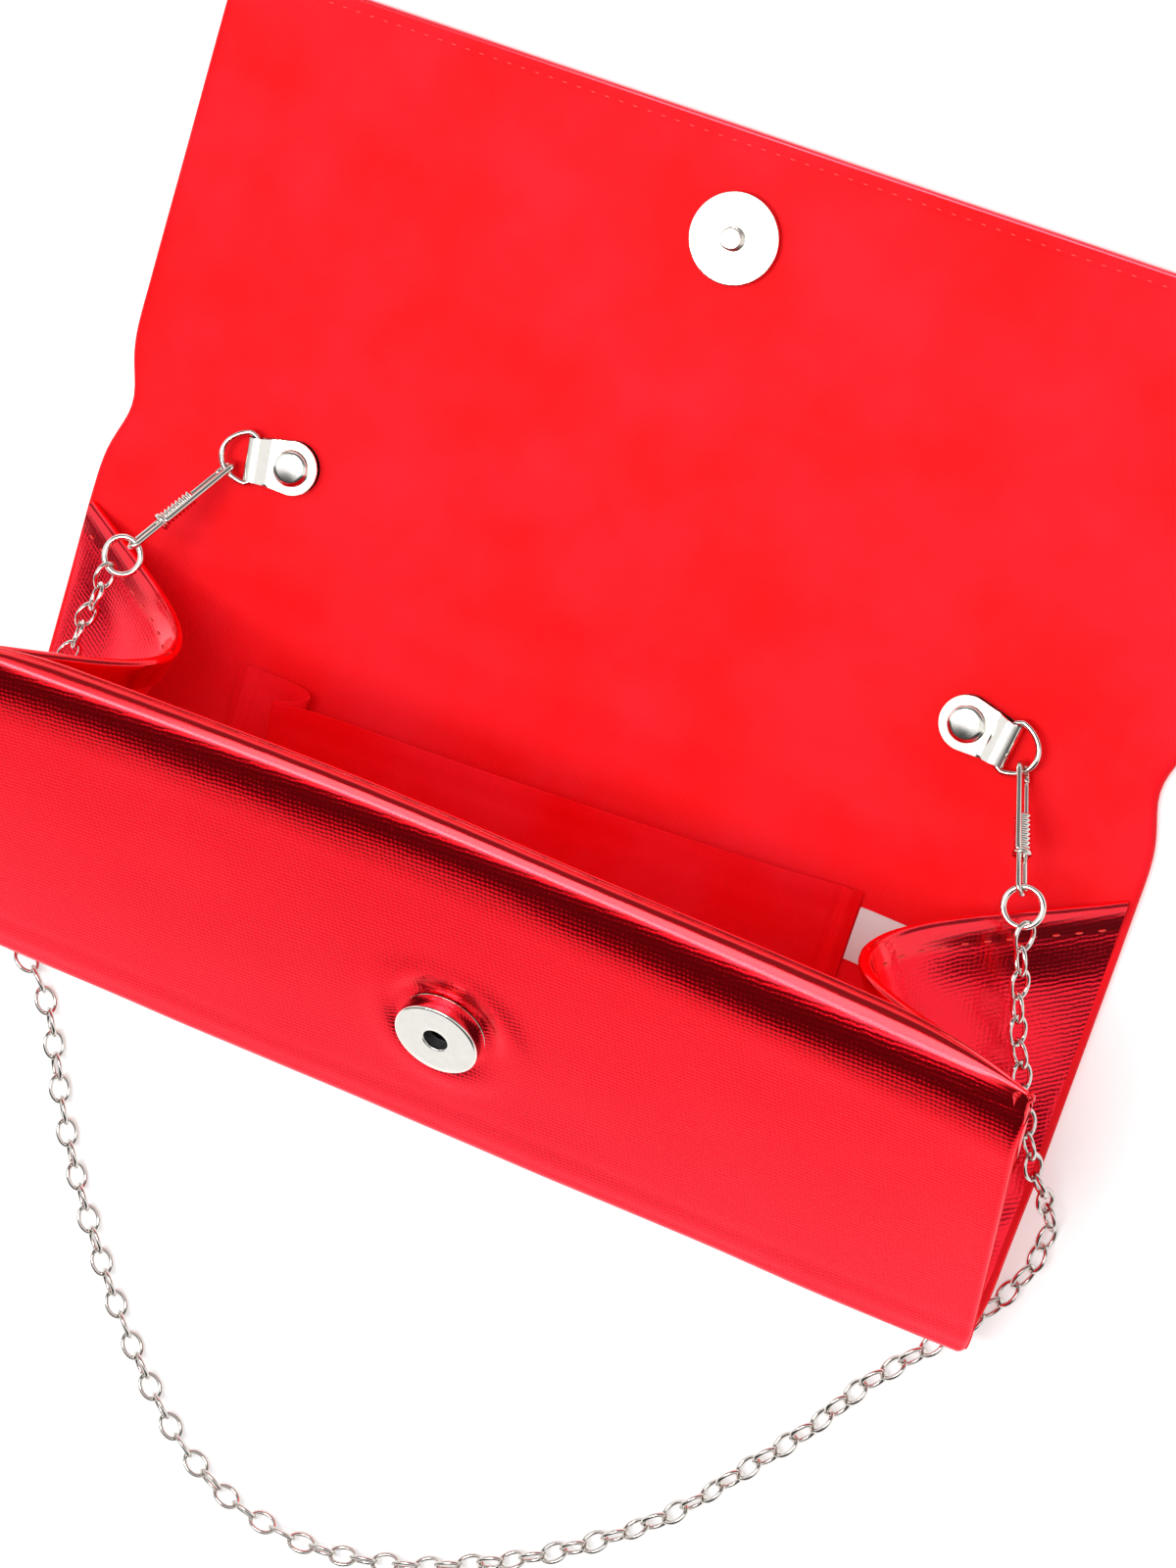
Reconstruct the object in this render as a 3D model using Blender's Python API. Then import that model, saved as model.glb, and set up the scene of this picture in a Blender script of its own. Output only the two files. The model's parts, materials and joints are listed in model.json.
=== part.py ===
"""Open clutch purse lying on its back: leather panels, folding gussets, magnetic snap, chain strap.

The bag is drawn in its own frame: x across the bag, y from the bottom fold towards the flap, z up
from the table.  BAG_SHIFT then puts the origin under the middle of the panels.
"""

import math

import bpy
import bmesh
import numpy as np
from mathutils import Matrix, Vector

MM = 0.001

# Panels
PANEL_WIDTH = 230.0 * MM
BACK_HEIGHT = 94.5 * MM
FRONT_HEIGHT = 85.5 * MM
BAND_DEPTH = 36.8 * MM
FLAP_LENGTH = 78.0 * MM
LEATHER = 0.9 * MM
BOARD = 1.0 * MM
LINING = 0.6 * MM
LAYER_GAP = 0.3 * MM
CREASE_GAP = 0.3 * MM
EDGE_MARGIN = 3.0 * MM
RIM_TURN = 9.0 * MM
FLAP_TURN = 2.5 * MM

# Bottom fold, which curls up clear of the table so that the chain can pass below it
FOLD_RADIUS = 5.0 * MM
FOLD_RISE = 5.2 * MM
CURL_LOW = 42.0 * MM
CURL_HIGH = 17.0 * MM
CURL_LEAD = 6.0 * MM
FRONT_ANGLE = math.radians(33.8)

# Side gussets, each one folded inwards along its middle
GUSSET_INSET = 2.0 * MM
GUSSET_EDGE = 89.6 * MM
GUSSET_FOLD = 84.0 * MM
GUSSET_HALF_ANGLE = math.radians(32.5)
GUSSET_START = 20.0 * MM
GUSSET_LIFT = 2.0 * MM
GUSSET_CLEAR = 1.2 * MM
GUSSET_VALLEY = 0.15 * MM

# Pocket and label on the back lining
POCKET_LEFT_INSET = 42.6 * MM
POCKET_RIGHT_INSET = 50.2 * MM
POCKET_BOTTOM = 24.0 * MM
POCKET_TOP = 77.0 * MM
POCKET_BOW = 7.5 * MM
LABEL_WIDTH = 13.0 * MM
LABEL_HEIGHT = 11.0 * MM
LABEL_TOP = 75.0 * MM
LABEL_THICKNESS = 0.35 * MM

# Magnetic snap
SNAP_RADIUS = 9.0 * MM
SNAP_SHEET = 0.6 * MM
SNAP_HEIGHT = 3.9 * MM
SNAP_HOLE_RADIUS = 2.6 * MM
SNAP_UP_FRONT = 33.0 * MM
SNAP_BEYOND_CREASE = 58.0 * MM
DISC_THICKNESS = 1.3 * MM
STUD_RADIUS = 2.2 * MM
STUD_HEIGHT = 2.4 * MM
STEM_RADIUS = 1.5 * MM
STEM_CLEAR = 0.3 * MM
SNAP_WASHER_RADIUS = 6.0 * MM

# Chain anchors: riveted tabs with D-rings
RIVET_INSET = 41.8 * MM
RIVET_BEYOND_CREASE = 22.5 * MM
RIVET_HEAD_RADIUS = 3.8 * MM
RIVET_DOME = 1.5 * MM
RIVET_WASHER_RADIUS = 3.2 * MM
TAB_TILT = math.radians(7.0)
TAB_ROUND = 5.5 * MM
TAB_REACH = 8.3 * MM
TAB_BAR_WIDTH = 8.8 * MM
TAB_SHEET = 0.6 * MM
D_WIRE = 0.6 * MM
D_HALF_WIDTH = 5.4 * MM
D_DEPTH = 7.0 * MM
D_CLEAR = 0.15 * MM
D_REST_TILT = math.radians(9.0)
HOOK_AT = math.radians(-36.0)

# Clips and rings at the ends of the chain
CLIP_LENGTH = 24.0 * MM
CLIP_HEADING = math.radians(26.2)
CLIP_RISE = math.radians(35.0)
CLIP_ROLL = {"left": math.radians(30.0), "right": math.radians(12.0)}
ARM_RADIUS = 0.55 * MM
ARM_OFFSET = 1.6 * MM
HOOK_CLEAR = 0.45 * MM
EYE_CLEAR = 0.2 * MM
HOOK_TIP = 1.2 * MM
SLEEVE_START = 9.0 * MM
SLEEVE_END = 16.6 * MM
SLEEVE_RADIUS = 1.2 * MM
RIB_HEIGHT = 0.3 * MM
RIB_COUNT = 8
COLLAR_RADIUS = 1.9 * MM
COLLAR_LENGTH = 1.0 * MM
EYE_ROD = 0.45 * MM
EYE_OFFSET = 1.35 * MM
GATE_RADIUS = 0.5 * MM
GATE_GAP = 0.3 * MM
GATE_TAIL = 0.5 * MM
RING_RADIUS = 3.8 * MM
RING_WIRE = 0.65 * MM
RING_TILT = math.radians(10.0)

# Chain strap, drawn as the plain tube that its links fill
CHAIN_RADIUS = 2.3 * MM
CHAIN_STEP = 7.0 * MM
CHAIN_LEAD = 1.0 * MM
CHAIN_JOIN_GAP = 0.3 * MM
CHAIN_SIDES = 3

# Facets
ARC_STEPS = 10
TURNED_STEPS = 24
SMALL_STEPS = 14
WIRE_SIDES = 8
ROUTE_STEPS = 12

# Sizes that follow from the ones above
BOARD_AT = LEATHER + LAYER_GAP
LINING_AT = BOARD_AT + BOARD + LAYER_GAP
STACK = LINING_AT + LINING
TURN_RADIUS = 0.5 * (LINING_AT + LEATHER)
HALF_WIDTH = 0.5 * PANEL_WIDTH
POCKET_LEFT = POCKET_LEFT_INSET - HALF_WIDTH
POCKET_RIGHT = HALF_WIDTH - POCKET_RIGHT_INSET
CREASE_1 = BACK_HEIGHT
CREASE_2 = CREASE_1 + BAND_DEPTH
FREE_EDGE = CREASE_2 + FLAP_LENGTH + TURN_RADIUS
BAG_SHIFT = Vector((0.0, -0.5 * FREE_EDGE, 0.0))
FOLD_CENTRE = np.array([FOLD_RADIUS, FOLD_RISE + FOLD_RADIUS])
FRONT_ALONG = np.array([math.cos(FRONT_ANGLE), math.sin(FRONT_ANGLE)])
FRONT_OUT = np.array([-math.sin(FRONT_ANGLE), math.cos(FRONT_ANGLE)])
FRONT_START = FOLD_CENTRE + FOLD_RADIUS * FRONT_OUT
SIDES = {"left": -1.0, "right": 1.0}

# Chain route, as points laid by hand: from the left ring over the left gusset, round the table in
# front of the bag, and over the right gusset to the right ring
CHAIN_LEFT_ROUTE = [
    (-99.6, 82.6, 20.6), (-101.0, 77.6, 19.8), (-102.2, 72.0, 18.9), (-103.9, 66.2, 17.8),
    (-106.6, 59.4, 16.2), (-110.0, 51.4, 14.4), (-113.6, 43.2, 12.4), (-117.3, 36.6, 8.6),
    (-120.0, 31.4, 4.4), (-120.9, 26.0, 2.6),
]
CHAIN_FLOOR_ROUTE = [
    (-120.2, 19.6, 2.4), (-118.0, 12.6, 2.4), (-113.8, 5.2, 2.4), (-106.5, -0.6, 2.4), (-98.6, -5.4, 2.4),
    (-92.6, -13.0, 2.4), (-87.4, -24.0, 2.4), (-81.8, -35.4, 2.4), (-75.6, -46.0, 2.4), (-69.0, -55.8, 2.4),
    (-61.5, -66.0, 2.4), (-53.0, -76.2, 2.4), (-44.2, -85.4, 2.4), (-34.5, -93.4, 2.4), (-22.5, -99.2, 2.4),
    (-9.0, -101.4, 2.4), (3.3, -100.6, 2.4), (20.2, -95.5, 2.4), (39.0, -85.5, 2.4), (54.5, -74.0, 2.4),
    (69.0, -60.0, 2.4), (80.0, -44.7, 2.4), (90.2, -29.8, 2.4), (96.8, -17.8, 2.4), (104.0, -7.9, 2.4),
    (108.6, -1.6, 2.4), (113.0, 4.6, 2.4), (117.2, 12.0, 2.4), (119.9, 19.0, 2.4),
]
CHAIN_RIGHT_ROUTE = [
    (120.8, 26.0, 2.6), (119.9, 31.6, 4.4), (117.2, 36.8, 8.6), (113.5, 43.4, 12.4), (109.9, 51.6, 14.4),
    (106.6, 59.8, 16.1), (104.0, 66.4, 17.6), (102.2, 72.0, 18.9), (101.0, 77.6, 19.8), (99.6, 82.6, 20.6),
]


def clear_scene():
    """Remove everything that the scene starts with."""
    for obj in list(bpy.data.objects):
        bpy.data.objects.remove(obj, do_unlink=True)


def finish(name, colour, roughness, metallic):
    """A Principled BSDF material."""
    material = bpy.data.materials.new(name)
    material.use_nodes = True
    shader = material.node_tree.nodes["Principled BSDF"]
    shader.inputs["Base Color"].default_value = (*colour, 1.0)
    shader.inputs["Roughness"].default_value = roughness
    shader.inputs["Metallic"].default_value = metallic
    return material


def body(name, pivot):
    """An empty on a joint's axis, which carries the pieces that move together."""
    empty = bpy.data.objects.new(name, None)
    empty.location = Vector(pivot) + BAG_SHIFT
    bpy.context.scene.collection.objects.link(empty)
    return empty


def piece(name, verts, faces, material, carrier, smooth=False):
    """One named solid, given in the bag's frame and hung on its carrier."""
    shift = BAG_SHIFT - carrier.location
    mesh = bpy.data.meshes.new(name)
    mesh.from_pydata([tuple(Vector(v) + shift) for v in verts], [], faces)
    work = bmesh.new()
    work.from_mesh(mesh)
    bmesh.ops.recalc_face_normals(work, faces=work.faces)
    work.to_mesh(mesh)
    work.free()
    if smooth:
        mesh.shade_smooth()
        mesh.set_sharp_from_angle(angle=math.radians(40.0))
    mesh.materials.append(material)
    obj = bpy.data.objects.new(name, mesh)
    obj.parent = carrier
    bpy.context.scene.collection.objects.link(obj)
    return obj


def combine(target, tool_name, verts, faces, operation):
    """Boolean with a hidden tool solid."""
    tool = piece(tool_name, verts, faces, target.data.materials[0], target.parent)
    tool.hide_render = True
    tool.display_type = "WIRE"
    modifier = target.modifiers.new(tool_name, "BOOLEAN")
    modifier.operation = operation
    modifier.object = tool
    return tool


def turned(profile, origin, axis, steps):
    """Revolve a closed (radius, height) profile about an axis: rings joined edge by edge."""
    turn = Vector(axis).to_track_quat("Z", "Y").to_matrix()
    rings = []
    verts = []
    for radius, height in profile:
        if radius == 0.0:
            rings.append([len(verts)] * steps)
            verts.append(turn @ Vector((0.0, 0.0, height)) + Vector(origin))
            continue
        rings.append(list(range(len(verts), len(verts) + steps)))
        for k in range(steps):
            angle = 2.0 * math.pi * k / steps
            local = Vector((radius * math.cos(angle), radius * math.sin(angle), height))
            verts.append(turn @ local + Vector(origin))
    faces = []
    for i, lower in enumerate(rings):
        upper = rings[(i + 1) % len(rings)]
        if lower[0] == lower[1] and upper[0] == upper[1]:
            continue
        for k in range(steps):
            m = (k + 1) % steps
            corners = [lower[k], lower[m], upper[m], upper[k]]
            faces.append(list(dict.fromkeys(corners)))
    return verts, faces


def rod(radius, start, end, steps=SMALL_STEPS):
    """A plain cylinder between two points."""
    along = Vector(end) - Vector(start)
    profile = [(0.0, 0.0), (radius, 0.0), (radius, along.length), (0.0, along.length)]
    return turned(profile, start, along, steps)


def wire(points, radius, closed, sides=WIRE_SIDES):
    """Carry a round section along a path, with capped ends if the path is open."""
    path = [Vector(p) for p in points]
    count = len(path)
    verts = []
    side = None
    for i, point in enumerate(path):
        before = path[(i - 1) % count] if closed or i > 0 else point
        after = path[(i + 1) % count] if closed or i < count - 1 else point
        tangent = (after - before).normalized()
        if side is None:
            side = tangent.orthogonal().normalized()
        side = (side - tangent * side.dot(tangent)).normalized()
        other = tangent.cross(side)
        for k in range(sides):
            angle = 2.0 * math.pi * k / sides
            verts.append(point + radius * (math.cos(angle) * side + math.sin(angle) * other))
    faces = []
    for i in range(count if closed else count - 1):
        low = i * sides
        high = ((i + 1) % count) * sides
        for k in range(sides):
            m = (k + 1) % sides
            faces.append([low + k, low + m, high + m, high + k])
    if not closed:
        faces.append(list(range(sides)))
        faces.append(list(range((count - 1) * sides, count * sides)))
    return verts, faces


def inward(path):
    """Unit normals on the bag's inner side of a (y, z) path."""
    tangent = np.gradient(path, axis=0, edge_order=min(2, len(path) - 1))
    tangent /= np.linalg.norm(tangent, axis=1)[:, None]
    return np.stack([tangent[:, 1], -tangent[:, 0]], axis=1)


def layer(path, depth, thickness, half_width):
    """One sheet of a panel: the path moved inwards by its depth, with a thickness, across the bag."""
    normal = inward(path)
    outer = path + depth * normal
    inner = outer + thickness * normal
    count = len(path)
    verts = []
    for x in (-half_width, half_width):
        for rail in (outer, inner):
            verts.extend((x, y, z) for y, z in rail)
    lo_out, lo_in, hi_out, hi_in = (k * count for k in range(4))
    faces = []
    for i in range(count - 1):
        faces.append([lo_out + i, lo_out + i + 1, hi_out + i + 1, hi_out + i])
        faces.append([lo_in + i, lo_in + i + 1, hi_in + i + 1, hi_in + i])
        faces.append([lo_out + i, lo_out + i + 1, lo_in + i + 1, lo_in + i])
        faces.append([hi_out + i, hi_out + i + 1, hi_in + i + 1, hi_in + i])
    for i in (0, count - 1):
        faces.append([lo_out + i, lo_in + i, hi_in + i, hi_out + i])
    return verts, faces


def arc(centre, radius, start, end, steps):
    """Points of a (y, z) arc, angles from +y towards +z."""
    angle = np.linspace(start, end, steps)[:, None]
    return np.asarray(centre) + radius * np.hstack([np.cos(angle), np.sin(angle)])


def plate(corners, normal, thickness):
    """A flat sheet: an outline of 3-D points with a thickness on both sides of its plane."""
    half = 0.5 * thickness * Vector(normal).normalized()
    low = [Vector(p) - half for p in corners]
    high = [Vector(p) + half for p in corners]
    count = len(corners)
    faces = [list(range(count)), list(range(count, 2 * count))]
    for i in range(count):
        k = (i + 1) % count
        faces.append([i, k, count + k, count + i])
    return low + high, faces


def smooth_route(knots):
    """Close points on the smooth curve through a route's knots, and each knot's place among them.

    Each stretch between two knots p1 and p2 is the cubic whose end slopes are half the step between
    their neighbours: p1 + t/2 (p2 - p0 + t (2 p0 - 5 p1 + 4 p2 - p3 + t (3 (p1 - p2) + p3 - p0))).
    """
    padded = np.vstack([2 * knots[0] - knots[1], knots, 2 * knots[-1] - knots[-2]])
    t = np.linspace(0.0, 1.0, ROUTE_STEPS, endpoint=False)[:, None]
    close = []
    for p0, p1, p2, p3 in zip(padded, padded[1:], padded[2:], padded[3:]):
        cubic = 2 * p0 - 5 * p1 + 4 * p2 - p3 + t * (3 * (p1 - p2) + p3 - p0)
        close.append(p1 + 0.5 * t * (p2 - p0 + t * cubic))
    close.append(knots[-1:])
    return np.vstack(close), ROUTE_STEPS * np.arange(len(knots))


def stretch(close, along, start, end):
    """Points of a route between two distances along it, with a short lead at each end."""
    inner = end - start - 2.0 * CHAIN_LEAD
    stops = np.linspace(start + CHAIN_LEAD, end - CHAIN_LEAD, round(inner / CHAIN_STEP) + 1)
    stops = np.concatenate([[start], stops, [end]])
    return np.stack([np.interp(stops, along, close[:, k]) for k in range(3)], axis=1)


def back_path():
    """Outer face of the back, from the crease to the bottom fold and round it to the front."""
    flat = np.array([[CREASE_1 - CREASE_GAP, 0.0], [CURL_LOW + CURL_LEAD, 0.0]])
    y = np.linspace(CURL_LOW, CURL_HIGH, ARC_STEPS)
    share = (CURL_LOW - y) / (CURL_LOW - CURL_HIGH)
    curl = np.stack([y, FOLD_RISE * 0.5 * (1.0 - np.cos(math.pi * share))], axis=1)
    fold_end = 0.5 * math.pi + FRONT_ANGLE + CREASE_GAP / (FOLD_RADIUS - STACK)
    fold = arc(FOLD_CENTRE, FOLD_RADIUS, 1.5 * math.pi, fold_end, ARC_STEPS)
    return np.vstack([flat, curl, fold])


def front_path(start, end):
    """Straight stretch of the front's outer face, between two heights up the panel."""
    heights = np.array([[start], [end]])
    return FRONT_START + heights * FRONT_ALONG


def turned_edge(path, turn, inside):
    """Carry a panel's leather round its edge and back along the inner side."""
    along = path[-1] - path[-2]
    along /= np.linalg.norm(along)
    centre = path[-1] + TURN_RADIUS * inside
    angle = np.linspace(0.0, math.pi, ARC_STEPS)[1:, None]
    round_edge = centre + TURN_RADIUS * (np.sin(angle) * along - np.cos(angle) * inside)
    return np.vstack([path, round_edge, round_edge[-1] - turn * along])


def drill(target, name, centre, axis, radius, depth):
    """Cut a round hole through a sheet, centred on a point of its thickness."""
    reach = depth * Vector(axis).normalized()
    verts, faces = rod(radius, Vector(centre) - reach, Vector(centre) + reach, TURNED_STEPS)
    combine(target, name, verts, faces, "DIFFERENCE")


def ring_profile(inner, outer, low, high):
    """Closed profile of a flat washer."""
    return [(inner, low), (outer, low), (outer, high), (inner, high)]


def make_back(leather, board, satin, white, root):
    """Back panel with the bottom fold, the slip pocket and the bare label."""
    path = back_path()
    piece("back_outer", *layer(path, 0.0, LEATHER, HALF_WIDTH), leather, root)
    flat_and_curl = path[:len(path) - ARC_STEPS]
    board_path = flat_and_curl
    piece("back_board", *layer(board_path, BOARD_AT, BOARD, HALF_WIDTH - EDGE_MARGIN), board, root)
    piece("back_lining", *layer(path, LINING_AT, LINING, HALF_WIDTH), satin, root)

    top = flat_and_curl + STACK * inward(path)[:len(flat_and_curl)]
    order = np.argsort(top[:, 0])

    def lining_height(y):
        return np.interp(y, top[order, 0], top[order, 1])

    make_pocket(lining_height, satin, root)
    label_low = lining_height(LABEL_TOP) + LAYER_GAP
    left = POCKET_RIGHT + LAYER_GAP
    corners = [
        (left, LABEL_TOP - LABEL_HEIGHT), (left + LABEL_WIDTH, LABEL_TOP - LABEL_HEIGHT),
        (left + LABEL_WIDTH, LABEL_TOP), (left, LABEL_TOP),
    ]
    middle = label_low + 0.5 * LABEL_THICKNESS
    outline = [(x, y, middle) for x, y in corners]
    piece("care_label", *plate(outline, (0, 0, 1), LABEL_THICKNESS), white, root)


def make_pocket(lining_height, satin, root):
    """Slip pocket: a sheet sewn down on three sides whose mouth bows away from the lining."""
    across = np.linspace(0.0, 1.0, 15)
    up = np.linspace(0.0, 1.0, 9)
    u, v = np.meshgrid(across, up, indexing="ij")
    x = POCKET_LEFT + u * (POCKET_RIGHT - POCKET_LEFT)
    y = POCKET_BOTTOM + v * (POCKET_TOP - POCKET_BOTTOM)
    low = lining_height(y) + LAYER_GAP + POCKET_BOW * np.sin(math.pi * u) ** 0.7 * v ** 1.5
    under = np.stack([x, y, low], axis=-1).reshape(-1, 3)
    upper = under + np.array([0.0, 0.0, LINING])
    rows, cols = x.shape
    base = rows * cols
    faces = []
    for i in range(rows - 1):
        for k in range(cols - 1):
            quad = [i * cols + k, (i + 1) * cols + k, (i + 1) * cols + k + 1, i * cols + k + 1]
            faces.append(quad)
            faces.append([base + q for q in quad])
    rim = [i * cols for i in range(rows)]
    rim += [(rows - 1) * cols + k for k in range(1, cols)]
    rim += [i * cols + cols - 1 for i in range(rows - 2, -1, -1)]
    rim += [k for k in range(cols - 2, 0, -1)]
    for a, b in zip(rim, rim[1:] + rim[:1]):
        faces.append([a, b, base + b, base + a])
    piece("slip_pocket", np.vstack([under, upper]), faces, satin, root)


def make_front(leather, board, satin, steel, magnet, carrier):
    """Front panel, turned over at its rim, with the socket half of the snap."""
    whole = front_path(0.0, FRONT_HEIGHT)
    edge = turned_edge(whole, RIM_TURN, -FRONT_OUT)
    outer = piece("front_outer", *layer(edge, 0.0, LEATHER, HALF_WIDTH), leather, carrier)
    board_end = FRONT_HEIGHT - LAYER_GAP
    stiff = piece(
        "front_board",
        *layer(front_path(EDGE_MARGIN, board_end), BOARD_AT, BOARD, HALF_WIDTH - EDGE_MARGIN), board, carrier,
    )
    lining_end = FRONT_HEIGHT - RIM_TURN - LAYER_GAP
    piece("front_lining", *layer(front_path(0.0, lining_end), LINING_AT, LINING, HALF_WIDTH), satin, carrier)

    seat_2d = FRONT_START + SNAP_UP_FRONT * FRONT_ALONG
    seat = Vector((0.0, *seat_2d))
    out = Vector((0.0, *FRONT_OUT))
    base_low = LAYER_GAP
    base_high = base_low + SNAP_SHEET
    stem_end = -(BOARD_AT + BOARD)
    stem = STEM_RADIUS
    inner = SNAP_RADIUS - SNAP_SHEET - LAYER_GAP
    base = [
        (0.0, stem_end), (stem, stem_end), (stem, base_low), (inner, base_low), (inner, base_high), (0.0, base_high),
    ]
    piece("snap_base", *turned(base, seat, out, TURNED_STEPS), steel, carrier, True)
    magnet_low = base_high + LAYER_GAP
    face = base_low + SNAP_HEIGHT
    magnet_high = face - SNAP_SHEET - LAYER_GAP
    magnet_hole = SNAP_HOLE_RADIUS + LAYER_GAP
    ring = ring_profile(magnet_hole, inner, magnet_low, magnet_high)
    piece("snap_magnet", *turned(ring, seat, out, TURNED_STEPS), magnet, carrier, True)
    wall = SNAP_RADIUS - SNAP_SHEET
    edge = 0.5 * SNAP_SHEET
    cup = [
        (wall, base_low), (SNAP_RADIUS, base_low), (SNAP_RADIUS, face - edge), (SNAP_RADIUS - edge, face),
        (SNAP_HOLE_RADIUS + edge, face), (SNAP_HOLE_RADIUS, face - edge), (SNAP_HOLE_RADIUS, face - SNAP_SHEET),
        (wall, face - SNAP_SHEET),
    ]
    piece("snap_cup", *turned(cup, seat, out, TURNED_STEPS), steel, carrier, True)
    washer = ring_profile(stem + STEM_CLEAR, SNAP_WASHER_RADIUS, -BOARD_AT - BOARD, -BOARD_AT)
    piece("snap_base_washer", *turned(washer, seat, out, TURNED_STEPS), steel, carrier, True)
    drill(outer, "front_stem_hole", seat - 0.5 * LEATHER * out, out, stem + STEM_CLEAR, LEATHER)
    middle = seat - (BOARD_AT + 0.5 * BOARD) * out
    drill(stiff, "front_washer_hole", middle, out, SNAP_WASHER_RADIUS + LAYER_GAP, BOARD)


def flat_path(start, end):
    """Outer face of a panel that lies on the table, run back towards the bag."""
    return np.array([[end, 0.0], [start, 0.0]])


def make_band(leather, board, satin, steel, carrier):
    """Top band between the two creases, with the riveted tabs."""
    start = CREASE_1
    end = CREASE_2 - CREASE_GAP
    piece("band_outer", *layer(flat_path(start, end), 0.0, LEATHER, HALF_WIDTH), leather, carrier)
    stiff = piece(
        "band_board",
        *layer(flat_path(start + EDGE_MARGIN, end - EDGE_MARGIN), BOARD_AT, BOARD, HALF_WIDTH - EDGE_MARGIN),
        board, carrier,
    )
    lining = piece("band_lining", *layer(flat_path(start, end), LINING_AT, LINING, HALF_WIDTH), satin, carrier)
    up = Vector((0, 0, 1))
    for name, side in SIDES.items():
        seat = rivet_seat(side)
        make_tab(name, side, steel, carrier)
        head_low = STACK + LAYER_GAP + 2.0 * TAB_SHEET + LAYER_GAP
        dome = [
            (RIVET_HEAD_RADIUS * math.cos(a), head_low + 0.4 * MM + RIVET_DOME * math.sin(a))
            for a in np.linspace(0.0, 0.5 * math.pi, 6)[:-1]
        ]
        head = [(0.0, BOARD_AT), (STEM_RADIUS, BOARD_AT), (STEM_RADIUS, head_low), (RIVET_HEAD_RADIUS, head_low)]
        head += dome + [(0.0, head_low + 0.4 * MM + RIVET_DOME)]
        piece(f"rivet_{name}", *turned(head, seat, up, TURNED_STEPS), steel, carrier, True)
        washer = ring_profile(STEM_RADIUS + STEM_CLEAR, RIVET_WASHER_RADIUS, BOARD_AT, BOARD_AT + BOARD)
        piece(f"rivet_washer_{name}", *turned(washer, seat, up, SMALL_STEPS), steel, carrier, True)
        in_lining = seat + (LINING_AT + 0.5 * LINING) * up
        drill(lining, f"rivet_hole_{name}", in_lining, up, STEM_RADIUS + STEM_CLEAR, LINING)
        in_board = seat + (BOARD_AT + 0.5 * BOARD) * up
        drill(stiff, f"rivet_washer_hole_{name}", in_board, up, RIVET_WASHER_RADIUS + LAYER_GAP, BOARD)


def rivet_seat(side):
    """Point on the table below a rivet."""
    return Vector((side * (HALF_WIDTH - RIVET_INSET), CREASE_1 + RIVET_BEYOND_CREASE, 0.0))


def tab_axes(side):
    """Unit vectors out along a tab and along its D-ring's bar."""
    out = Vector((side * math.cos(TAB_TILT), -math.sin(TAB_TILT), 0.0))
    along_bar = Vector((side * math.sin(TAB_TILT), math.cos(TAB_TILT), 0.0))
    return out, along_bar


def bar_centre(side):
    """Middle of the D-ring's straight bar, inside the tab's rolled end."""
    out, _ = tab_axes(side)
    height = STACK + LAYER_GAP + D_WIRE + D_CLEAR + TAB_SHEET
    return rivet_seat(side) + TAB_REACH * out + Vector((0, 0, height))


def make_tab(name, side, steel, carrier):
    """Tab: a folded plate with a round end at the rivet and a rolled end round the D-ring's bar."""
    out, along = tab_axes(side)
    seat = rivet_seat(side)
    half_bar = 0.5 * TAB_BAR_WIDTH
    angles = np.linspace(0.5 * math.pi, 1.5 * math.pi, 13)
    outline = [(TAB_ROUND * math.cos(a), TAB_ROUND * math.sin(a)) for a in angles]
    outline += [(TAB_REACH, -half_bar), (TAB_REACH, half_bar)]
    middle = STACK + LAYER_GAP + TAB_SHEET
    corners = [seat + a * out + b * along + Vector((0, 0, middle)) for a, b in outline]
    tab = piece(f"tab_plate_{name}", *plate(corners, (0, 0, 1), 2.0 * TAB_SHEET), steel, carrier, True)
    bar = bar_centre(side)
    roll = rod(D_WIRE + D_CLEAR + TAB_SHEET, bar - half_bar * along, bar + half_bar * along, TURNED_STEPS)
    combine(tab, f"tab_roll_{name}", *roll, "UNION")
    bore = rod(D_WIRE + D_CLEAR, bar - TAB_BAR_WIDTH * along, bar + TAB_BAR_WIDTH * along, TURNED_STEPS)
    combine(tab, f"tab_bore_{name}", *bore, "DIFFERENCE")
    hole_middle = seat + Vector((0, 0, middle))
    drill(tab, f"tab_hole_{name}", hole_middle, (0, 0, 1), STEM_RADIUS + STEM_CLEAR, 2.0 * TAB_SHEET)


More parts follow.
